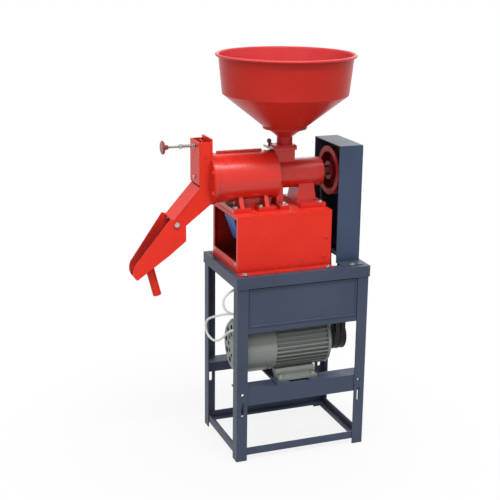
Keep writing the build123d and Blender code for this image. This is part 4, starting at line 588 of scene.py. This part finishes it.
for turn in BELL_SCREW_ANGLES:
    out = spoke(turn)
    ring_middle = Vector((bell_low.x + BELL_SCREW_INSET, motor_axis.y, motor_axis.z))
    square_to_face = Vector((BELL_SLOPE[0], 0, 0)) + out * BELL_SLOPE[1]
    seat = ring_middle + out * BELL_SCREW_RING - out * BELL_SCREW_SUNK
    pan_head(screws, facing(seat, square_to_face), BELL_SCREW)
new_piece("motor_screws", screws, zinc, "frame_and_mill")

WASHER_RADIUS, WASHER_GAUGE = 0.0088, 0.0009


def washer(shape, place):
    rim = [(WASHER_RADIUS, 0.0), (WASHER_RADIUS, WASHER_GAUGE * 0.6),
           (WASHER_RADIUS - WASHER_GAUGE * 0.5, WASHER_GAUGE)]
    turned(shape, place, [(0, 0.0), *rim, (0, WASHER_GAUGE)], sides=28)


def solid_boxes(name):
    """The box of each separate solid of a node, from its mesh."""
    shape = bmesh.new()
    shape.from_mesh(solids[name].data)
    bmesh.ops.remove_doubles(shape, verts=shape.verts, dist=1e-6)
    left = set(shape.verts)
    boxes = []
    while left:
        todo = [left.pop()]
        group = []
        while todo:
            vert = todo.pop()
            group.append(vert.co.copy())
            for edge in vert.link_edges:
                other = edge.other_vert(vert)
                if other in left:
                    left.remove(other)
                    todo.append(other)
        low = Vector([min(p[i] for p in group) for i in range(3)])
        high = Vector([max(p[i] for p in group) for i in range(3)])
        boxes.append((low, high))
    shape.free()
    return sorted(boxes, key=lambda box: tuple(round(c, 4) for c in box[0]))


HEAD_HEIGHT = 0.00525
plates = bmesh.new()
for name in ("motor_bolts", "frame_bolts"):
    for low, high in solid_boxes(name):
        middle = (low + high) / 2
        washer(plates, facing((middle.x, middle.y, high.z - HEAD_HEIGHT), (0, 0, 1)))
new_piece("stand_washers", plates, zinc, "frame_and_mill")

# Mains lead
# A white round lead out of the terminal box's gland. It hangs in one loose loop at the left end of
# the motor; the rest is coiled on the terminal box, in a nylon tie, with the moulded plug on it.
LEAD_RADIUS = 0.0033
LEAD_ROUTE = (
    (-0.0554, -0.058, 0.414), (-0.150, -0.058, 0.414), (-0.194, -0.038, 0.413),
    (-0.207, 0.028, 0.385), (-0.218, 0.074, 0.360), (-0.217, 0.074, 0.320),
    (-0.206, 0.036, 0.305), (-0.196, -0.004, 0.324), (-0.187, -0.050, 0.368),
    (-0.178, -0.090, 0.378), (-0.178, -0.100, 0.426), (-0.221, -0.092, 0.442),
    (-0.222, -0.087, 0.484), (-0.172, -0.080, 0.504), (-0.112, -0.074, 0.491),
    (-0.066, -0.066, 0.463))
TURN_POINTS, LIFTED_POINTS = 16, 2
FIRST_ANGLE = math.radians(214.0)
TIE_GAUGE, TIE_WIDTH, TIE_POINT = 0.0006, 0.0036, 10
TO_THE_PLUG = ((-38, 5, 2), (-36, -8, 4), (-29.5, -15.4, 6), (-18, -23, 9), (-9, -24, 10),
               (-4, -24, 10))

coil_low, coil_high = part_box("lead_coil")
coil_middle = Vector(((coil_low.x + coil_high.x) / 2, (coil_low.y + coil_high.y) / 2, coil_low.z))
coil_top = Vector((coil_middle.x, coil_middle.y, coil_high.z))
outer_ring = (coil_high.x - coil_low.x) / 2 - LEAD_RADIUS
inner_ring = outer_ring - 2 * LEAD_RADIUS
COIL_TURNS = ((outer_ring, 1), (inner_ring, 1), (inner_ring, 3), (outer_ring, 3))
outside_the_line = 1.0 / math.cos(math.pi / TURN_POINTS)
turns = []
for number, (ring, level) in enumerate(COIL_TURNS, start=1):
    last_turn = number == len(COIL_TURNS)
    for i in range(TURN_POINTS - LIFTED_POINTS if last_turn else TURN_POINTS):
        angle = FIRST_ANGLE + math.tau * i / TURN_POINTS
        over_tie = TIE_GAUGE if abs(i - TIE_POINT) <= 1 else 0.0
        turns.append((coil_middle.x + ring * outside_the_line * math.cos(angle),
                      coil_middle.y + ring * outside_the_line * math.sin(angle),
                      coil_middle.z + level * LEAD_RADIUS + over_tie))
route = [(x + STAND_MIDDLE, y, z) for x, y, z in LEAD_ROUTE] + turns
route += [tuple(coil_top + Vector(step) / 1000) for step in TO_THE_PLUG]

lead_line = bpy.data.curves.new("mains_lead_line", "CURVE")
lead_line.dimensions = "3D"
lead_line.bevel_depth = LEAD_RADIUS
lead_line.bevel_resolution = 5
lead_line.resolution_u = 8
lead_line.use_fill_caps = True
run = lead_line.splines.new("NURBS")
run.points.add(len(route) - 1)
for point, at in zip(run.points, route):
    point.co = (*at, 1.0)
run.order_u = 3
run.use_endpoint_u = True
lead = bpy.data.objects.new("mains_lead_sheath", lead_line)
bpy.context.collection.objects.link(lead)
white_sheath = moulded("white_sheath", (0.74, 0.74, 0.72), (0.66, 0.66, 0.63), gloss=0.42,
                       grain=0.00003)
lead_line.materials.append(white_sheath.material)
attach(lead, "frame_and_mill")
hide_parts("mains_lead", "lead_coil")
dress(white_sheath, "mains_lead", "lead_coil", "mains_plug")

CORNER_STEPS = 5
HEAD_SIZE = Vector((0.0050, 0.0040, 0.0046))
TAIL_SIZE = Vector((0.0030, 0.0090, 0.0008))
up = Vector((0, 0, 1))
tie_angle = FIRST_ANGLE + math.tau * TIE_POINT / TURN_POINTS
out = Vector((math.cos(tie_angle), math.sin(tie_angle), 0))
along = up.cross(out)
bundle = coil_middle + out * (outer_ring + inner_ring) / 2 + up * (2 * LEAD_RADIUS + TIE_GAUGE)
tie = bmesh.new()
rims = []
for gap, side in ((0.0, -1), (TIE_GAUGE, -1), (TIE_GAUGE, 1), (0.0, 1)):
    rim = []
    for a, b in ((1, 1), (-1, 1), (-1, -1), (1, -1)):
        corner = bundle + (out * a + up * b) * LEAD_RADIUS + along * side * TIE_WIDTH / 2
        first = math.atan2(b, a) - math.pi / 4
        for step in range(CORNER_STEPS + 1):
            angle = first + math.pi / 2 * step / CORNER_STEPS
            off = (out * math.cos(angle) + up * math.sin(angle)) * (LEAD_RADIUS + gap)
            rim.append(tie.verts.new(corner + off))
    rims.append(rim)
skin(tie, rims + rims[:1])
head_out = 2 * LEAD_RADIUS + TIE_GAUGE / 2 + HEAD_SIZE.y / 2
tail_out = head_out + (HEAD_SIZE.y + TAIL_SIZE.y) / 2 - TIE_GAUGE
for size, off in ((HEAD_SIZE, head_out), (TAIL_SIZE, tail_out)):
    lie = Matrix((along * size.x, out * size.y, up * size.z)).transposed().to_4x4()
    lie = Matrix.Translation(bundle + out * off) @ lie
    bmesh.ops.create_cube(tie, size=1.0, matrix=lie)
coil_tie = new_piece("coil_tie", tie, fan_plastic, "frame_and_mill")

# Bran box
# A folded and welded sheet box, open on the left, bolted to the top rails by its two flanges. It has
# the glossy orange-red enamel of the whole mill; the small funnel hung inside it is blue.
RED, RED_SHADE = (0.745, 0.0330, 0.0170), (0.645, 0.0240, 0.0130)
# The red's hollow colour: grime with painted shade.
RED_WORN, RED_GRIME_AND_SHADE = (0.80, 0.13, 0.08), (0.090, 0.007, 0.010)


def red_enamel(name, colour=RED, shade=RED_SHADE, peel=0.000012, sand=0.000004, **rest):
    return sprayed_paint(name, colour, shade, RED_WORN, RED_GRIME_AND_SHADE, peel=peel, sand=sand, wear=0.45,
                         **rest)


red_sheet = red_enamel("red_enamel_on_sheet", gloss=0.27, hollow=0.10, edge=0.002, specular=0.12)
# A long reach darkens the whole inside of the open box: painted shade, with grime.
red_box = red_enamel("red_enamel_on_the_box", gloss=0.27, hollow=0.28, specular=0.12)
blue_paint = sprayed_paint("blue_paint", (0.006, 0.120, 0.420), (0.005, 0.090, 0.330),
                           worn=(0.08, 0.20, 0.48), grime_and_shade=(0.004, 0.020, 0.080), gloss=0.32,
                           peel=0.00008, sand=0.00002, wear=0.4, hollow=0.05, specular=0.26)
dress(red_box, "bran_box")
dress(blue_paint, "bran_funnel")

BOX_FLANGE = 0.022
RIVET, RIVET_SPOTS = 0.0042, ((80.0, 632.0), (74.0, 577.0))
SILL_BOLT, SILL_X, SILL_BOLT_Y, SILL_Z = 0.0035, -185.0, 86.0, 572.5
box_low, box_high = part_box("bran_box")
front_wall, rear_wall = box_low.y + BOX_FLANGE, box_high.y - BOX_FLANGE
rivets = bmesh.new()
for wall_y, out in ((front_wall, (0, -1, 0)), (rear_wall, (0, 1, 0))):
    for x, z in RIVET_SPOTS:
        spot = from_stand(x, 0.0, z)
        pan_head(rivets, facing((spot.x, wall_y, spot.z), out), RIVET, slot=False)
new_piece("box_rivets", rivets, red_sheet, "frame_and_mill")
bolts = bmesh.new()
for y in (-SILL_BOLT_Y, SILL_BOLT_Y):
    pan_head(bolts, facing(from_stand(SILL_X, y, SILL_Z), (-1, 0, 0)), SILL_BOLT)
new_piece("sill_bolts", bolts, zinc, "frame_and_mill")

# Mill body
# The barrel with its screwed-on cover, and the screw housing that runs on from it, are iron castings
# bolted to the bran box. Sprayed in the same enamel, which keeps a trace of the sand in it.
# The castings' red is set darker and deeper than the sheet's: painted shade.
CASTING_RED_PAINTED_DARKER, CASTING_SHADE_PAINTED_DARKER = (0.645, 0.0195, 0.0075), (0.560, 0.0140, 0.0060)
red_casting = red_enamel("red_enamel_on_castings", CASTING_RED_PAINTED_DARKER, CASTING_SHADE_PAINTED_DARKER, peel=0.00004,
                         sand=0.00002, gloss=0.29, hollow=0.04, wave=0.00015, specular=0.56)
dress(red_casting, "milling_barrel", "barrel_cover", "screw_housing")


def partly_sprayed(name, above, right_of):
    """Zinc plated bolts; those above a height and right of a place were sprayed over with enamel."""
    finish = Finish(name)
    split = finish.add("ShaderNodeSeparateXYZ")
    finish.join(finish.place, split.inputs[0])
    high = finish.sums("GREATER_THAN", split.outputs["Z"], above)
    right = finish.sums("GREATER_THAN", split.outputs["X"], right_of)
    sprayed = finish.sums("MULTIPLY", high, right)
    film = finish.between(finish.noise(scale=28.0, detail=4.0, rough=0.6), 0.35, 0.7)
    plate = finish.mixed(film, ZINC_BRIGHT, ZINC_DULL)
    enamel = finish.mixed(film, RED, RED_SHADE)
    finish.join(finish.mixed(sprayed, plate, enamel), finish.surface.inputs["Base Color"])
    finish.join(finish.sums("SUBTRACT", 1.0, sprayed), finish.surface.inputs["Metallic"])
    rough = finish.between(film, 0.0, 1.0, 0.28, 0.44)
    finish.join(rough, finish.surface.inputs["Roughness"])
    grain = finish.noise(scale=300.0, detail=3.0, rough=0.6)
    finish.bumps([(grain, ZINC_GRAIN)], finish.rounded(STEEL_EDGE))
    return finish


OUTLET_COVER_X = from_stand(-255.0, 0, 0).x
FOOT_TOP, ABOVE_FOOT_BOLTS = from_stand(0, 0, 723.0).z, from_stand(0, 0, 740.0).z
SHORTEST_FOOT_BOLT = 0.015
dress(partly_sprayed("mill_bolt_finish", ABOVE_FOOT_BOLTS, OUTLET_COVER_X), "mill_bolts")
plates = bmesh.new()
for low, high in solid_boxes("mill_bolts"):
    middle = (low + high) / 2
    if low.z < FOOT_TOP < high.z and high.z - low.z > SHORTEST_FOOT_BOLT:
        washer(plates, facing((middle.x, middle.y, FOOT_TOP), (0, 0, 1)))
new_piece("mill_washers", plates, zinc, "frame_and_mill")

# Mill inside
# A steel shaft in two bearings carries the feed screw and the ribbed milling roller, both iron
# castings. Under the roller lies the slotted steel sieve, beside it the adjustable knife bar.
bare_iron = bare_steel("machined_iron", (0.30, 0.29, 0.28), (0.20, 0.19, 0.18), gloss=0.42,
                       grain=0.00008, along=(500.0, 90.0, 90.0))
oiled_steel = bare_steel("oiled_steel", (0.26, 0.22, 0.20), (0.16, 0.12, 0.10), gloss=0.40,
                         grain=0.00004, along=(1400.0, 30.0, 30.0))
dress(oiled_steel, "main_shaft", "shaft_bearings", "rice_knife")
dress(bare_iron, "feed_screw", "milling_roller")
dress(zinc, "bran_sieve")

# Hopper
# A spun steel bowl with a wired rim, welded to a conical throat, whose flange is bolted over the
# inlet. Its red is darkened as painted shade, and a pinker painted sheen lies on its up-facing inside.
# The flat gate in the flange's slot has a small ball knob.
# The hopper's enamel is set darker than the same enamel on the box: painted shade.
HOPPER_RED_PAINTED_DARKER, HOPPER_SHADE_PAINTED_DARKER = (0.500, 0.0225, 0.0135), (0.440, 0.0165, 0.0105)
PAINTED_SHEEN_ON_RED = (0.630, 0.0620, 0.0700)
red_spun = red_enamel("red_enamel_on_the_hopper", HOPPER_RED_PAINTED_DARKER, HOPPER_SHADE_PAINTED_DARKER, gloss=0.29, hollow=0.05,
                      specular=0.14)
# A pinker tone on the up-facing inside: a painted sheen.
patches = red_spun.between(red_spun.noise(scale=14.0, detail=3.0), 0.3, 0.7, 0.72, 0.92)
inside = red_spun.sums("MULTIPLY", red_spun.facing_up(-0.01, 0.04), patches)
red_spun.lay_colour_over(inside, PAINTED_SHEEN_ON_RED)
dress(red_spun, "hopper_bowl", "hopper_throat")
knob_brown = moulded("knob_brown", (0.070, 0.016, 0.012), (0.045, 0.012, 0.010), gloss=0.30,
                     grain=0.00003)
gate_steel = bare_steel("rubbed_gate_steel", (0.46, 0.40, 0.39), (0.36, 0.27, 0.25), gloss=0.40,
                        grain=0.00005, along=(60.0, 900.0, 900.0))
dress(gate_steel, "gate_plate")
dress(knob_brown, "gate_knob")

SEAM_POINTS = 40


def level_ring(centre, radius):
    steps = [math.tau * i / SEAM_POINTS for i in range(SEAM_POINTS + 1)]
    return [centre + Vector((math.cos(angle), math.sin(angle), 0)) * radius for angle in steps]


FLANGE_HEIGHT, COLLAR_DROP = 0.0068, 0.003
BOWL_SEAM, COLLAR_SEAM, FLANGE_SEAM = 0.0612, 0.0502, 0.0222
BOWL_BEAD, COLLAR_BEAD, THROAT_BEAD = 0.0011, 0.0014, 0.0015
bowl_low, bowl_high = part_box("hopper_bowl")
throat_low, throat_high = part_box("hopper_throat")
hopper_middle = (bowl_low + bowl_high) / 2
HOPPER_SEAMS = ((throat_high.z, BOWL_SEAM, BOWL_BEAD),
                (throat_high.z - COLLAR_DROP, COLLAR_SEAM, COLLAR_BEAD),
                (throat_low.z + FLANGE_HEIGHT, FLANGE_SEAM, THROAT_BEAD))
seams = bmesh.new()
for z, radius, size in HOPPER_SEAMS:
    weld_run(seams, level_ring(Vector((hopper_middle.x, hopper_middle.y, z)), radius), size)
new_piece("hopper_welds", seams, red_spun, "frame_and_mill")

# Outlet and chutes
# A welded sheet housing on the barrel's end, with a closed chute below. The lower chute hangs on two
# bolts and tilts; a screen lies in it, and fines run out of the short tube.
dress(red_sheet, "outlet_housing", "outlet_cover", "lower_chute", "pressure_door")
dress(zinc, "chute_screen", "chute_bolts", "thrust_washer", "spring_nut")
knob_red = moulded("knob_red", (0.300, 0.022, 0.016), (0.200, 0.014, 0.011), gloss=0.30,
                   grain=0.00003)
dress(oiled_steel, "pressure_screw")
dress(knob_red, "pressure_knob")

# Pressure spring
# A spring of round wire with its end turns closed, on the screw between nut and cover plate. Its outer
# half is pressed in as the nut is screwed up, its inner half as the door pushes the screw inwards.
SPRING_WIRE, WIRE_SIDES, STEPS_PER_TURN = 0.0010, 10, 28
CLOSED_TURN = 2.2 * SPRING_WIRE
spring_low, spring_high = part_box("pressure_spring")
spring_axis = (spring_low + spring_high) / 2
COIL_RADIUS = (spring_high.y - spring_low.y) / 2 - SPRING_WIRE


def spring_half(name, stations, body):
    """Winds wire through stations of (turns, x), and lets it ride on a body."""
    shape = bmesh.new()
    rings = []
    first, last = stations[0][0], stations[-1][0]
    steps = round((last - first) * STEPS_PER_TURN)
    for i in range(steps + 1):
        turns = first + (last - first) * i / steps
        for (turn_a, x_a), (turn_b, x_b) in zip(stations, stations[1:]):
            if turns <= turn_b + 1e-9:
                x = x_a + (x_b - x_a) * (turns - turn_a) / (turn_b - turn_a)
                break
        out = Vector((0, math.cos(math.tau * turns), math.sin(math.tau * turns)))
        centre = Vector((x, spring_axis.y, spring_axis.z)) + out * COIL_RADIUS
        ring = []
        for side in range(WIRE_SIDES):
            angle = math.tau * side / WIRE_SIDES
            off = out * math.cos(angle) + Vector((math.sin(angle), 0, 0))
            ring.append(shape.verts.new(centre + off * SPRING_WIRE))
        rings.append(ring)
    skin(shape, rings)
    close_ends(shape, rings)
    half = new_piece(name, shape, zinc, body)
    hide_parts("pressure_spring")
    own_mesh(half)


outer_end, inner_end = spring_low.x + SPRING_WIRE, spring_high.x - SPRING_WIRE
spring_half("outer_half_spring",
            ((0, outer_end), (1, outer_end + CLOSED_TURN), (3, spring_axis.x)),
            "washer")
spring_half("inner_half_spring",
            ((3, spring_axis.x), (5, inner_end - CLOSED_TURN), (6, inner_end)),
            "frame_and_mill")

# Chute welds
# The housing and both chutes are cut from sheet and joined along their edges by thin welds, ground
# and sprayed over; the fines tube is welded round where it leaves the lower chute's floor.
OUTLET_HALF, FLANGE_BEAD, SHEET_BEAD, TUBE_BEAD = 40.2, 0.0013, 0.0010, 0.0012
OUTLET_SEAMS = (((-240.2, 742.0), (-240.2, 906.0), FLANGE_BEAD),
                ((-271.0, 784.0), (-347.5, 697.5), SHEET_BEAD),
                ((-242.0, 736.5), (-335.0, 665.2), SHEET_BEAD))
seams = bmesh.new()
for y in (-OUTLET_HALF, OUTLET_HALF):
    for (x_a, z_a), (x_b, z_b), size in OUTLET_SEAMS:
        weld_run(seams, [from_stand(x_a, y, z_a), from_stand(x_b, y, z_b)], size)
new_piece("outlet_welds", seams, red_sheet, "frame_and_mill")

CHUTE_TIP, CHUTE_HEEL = Vector((-449.0, 0.0, 534.0)), Vector((-313.0, 0.0, 640.0))
CHUTE_BEND_X, NOSE_X = -360.0, -457.5
WIDE_HALF, NOSE_HALF = 43.0, 25.0
SPOUT_TOP, SPOUT_FOOT = Vector((-408.0, 0.0, 568.0)), Vector((-385.0, 0.0, 480.0))
SPOUT_RADIUS, SPOUT_POINTS = 12.2, 32


def chute_floor(x):
    share = (x - CHUTE_TIP.x) / (CHUTE_HEEL.x - CHUTE_TIP.x)
    return CHUTE_TIP.z + (CHUTE_HEEL.z - CHUTE_TIP.z) * share


def chute_half(x):
    past_bend = max(0.0, (CHUTE_BEND_X - x) / (CHUTE_BEND_X - NOSE_X))
    return WIDE_HALF - (WIDE_HALF - NOSE_HALF) * past_bend


seams = bmesh.new()
for side in (-1, 1):
    stations = (CHUTE_HEEL.x - 1, CHUTE_BEND_X, CHUTE_TIP.x + 1)
    edge = [from_stand(x, side * chute_half(x), chute_floor(x)) for x in stations]
    weld_run(seams, edge, SHEET_BEAD)
spout_line = (SPOUT_FOOT - SPOUT_TOP).normalized()
across = Vector((0, 1, 0))
ahead = spout_line.cross(across)
floor_up = across.cross((CHUTE_HEEL - CHUTE_TIP).normalized())
ring = []
for i in range(SPOUT_POINTS + 1):
    angle = math.tau * i / SPOUT_POINTS
    point = SPOUT_TOP + (across * math.cos(angle) + ahead * math.sin(angle)) * SPOUT_RADIUS
    down = (CHUTE_TIP - point).dot(floor_up) / spout_line.dot(floor_up)
    ring.append(from_stand(*(point + spout_line * down)))
weld_run(seams, ring, TUBE_BEAD)
new_piece("chute_welds", seams, red_sheet, "tilting_chute")

# Belt drive
# A cast pulley on the mill shaft, in a darker red, and a small black one on the motor, joined by two
# wrapped V-belts. A folded sheet guard, in a bluer grey than the stand, covers the mill's pulley; the
# pulley's red is darkened partly as painted shade under the guard.
GUARD_BLUE, GUARD_SHADE = (0.045, 0.070, 0.128), (0.036, 0.056, 0.102)
# The pulley's red is partly its own darker paint and partly painted shade under the guard.
PULLEY_RED_PAINTED_DARKER, PULLEY_SHADE_PAINTED_DARKER = (0.420, 0.0150, 0.0240), (0.320, 0.0100, 0.0170)
pulley_red = sprayed_paint("pulley_red", PULLEY_RED_PAINTED_DARKER, PULLEY_SHADE_PAINTED_DARKER, RED_WORN,
                           grime_and_shade=(0.050, 0.003, 0.006), gloss=0.42, peel=0.00006, sand=0.00003,
                           wear=0.5, hollow=0.05, specular=0.20)
dress(pulley_red, "mill_pulley")
guard_paint = sprayed_paint("guard_paint", GUARD_BLUE, GUARD_SHADE, MILL_SCALE,
                            grime_and_shade=(0.014, 0.017, 0.022), gloss=0.42, peel=0.00003, sand=0.00002,
                            wear=0.5, hollow=0.05, edge=0.004, specular=0.26)
dress(guard_paint, "belt_guard")
GUARD_SEAM_X, GUARD_SEAM_Y = 190.0, (-90.0, 78.0)
GUARD_SEAM_FOOT, GUARD_SEAM_HEAD, GUARD_BEAD = 0.004, 0.002, 0.0009
guard_low, guard_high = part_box("belt_guard")
heights = (guard_low.z + GUARD_SEAM_FOOT, guard_high.z - GUARD_SEAM_HEAD)
seams = bmesh.new()
for y in GUARD_SEAM_Y:
    corner = from_stand(GUARD_SEAM_X, y, 0.0)
    weld_run(seams, [(corner.x, corner.y, z) for z in heights], GUARD_BEAD)
new_piece("guard_welds", seams, guard_paint, "frame_and_mill")
belt_rubber = moulded("belt_rubber", (0.016, 0.016, 0.017), (0.028, 0.027, 0.026), gloss=0.62,
                      grain=0.00008)
dress(belt_rubber, "drive_belts")

low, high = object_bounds()
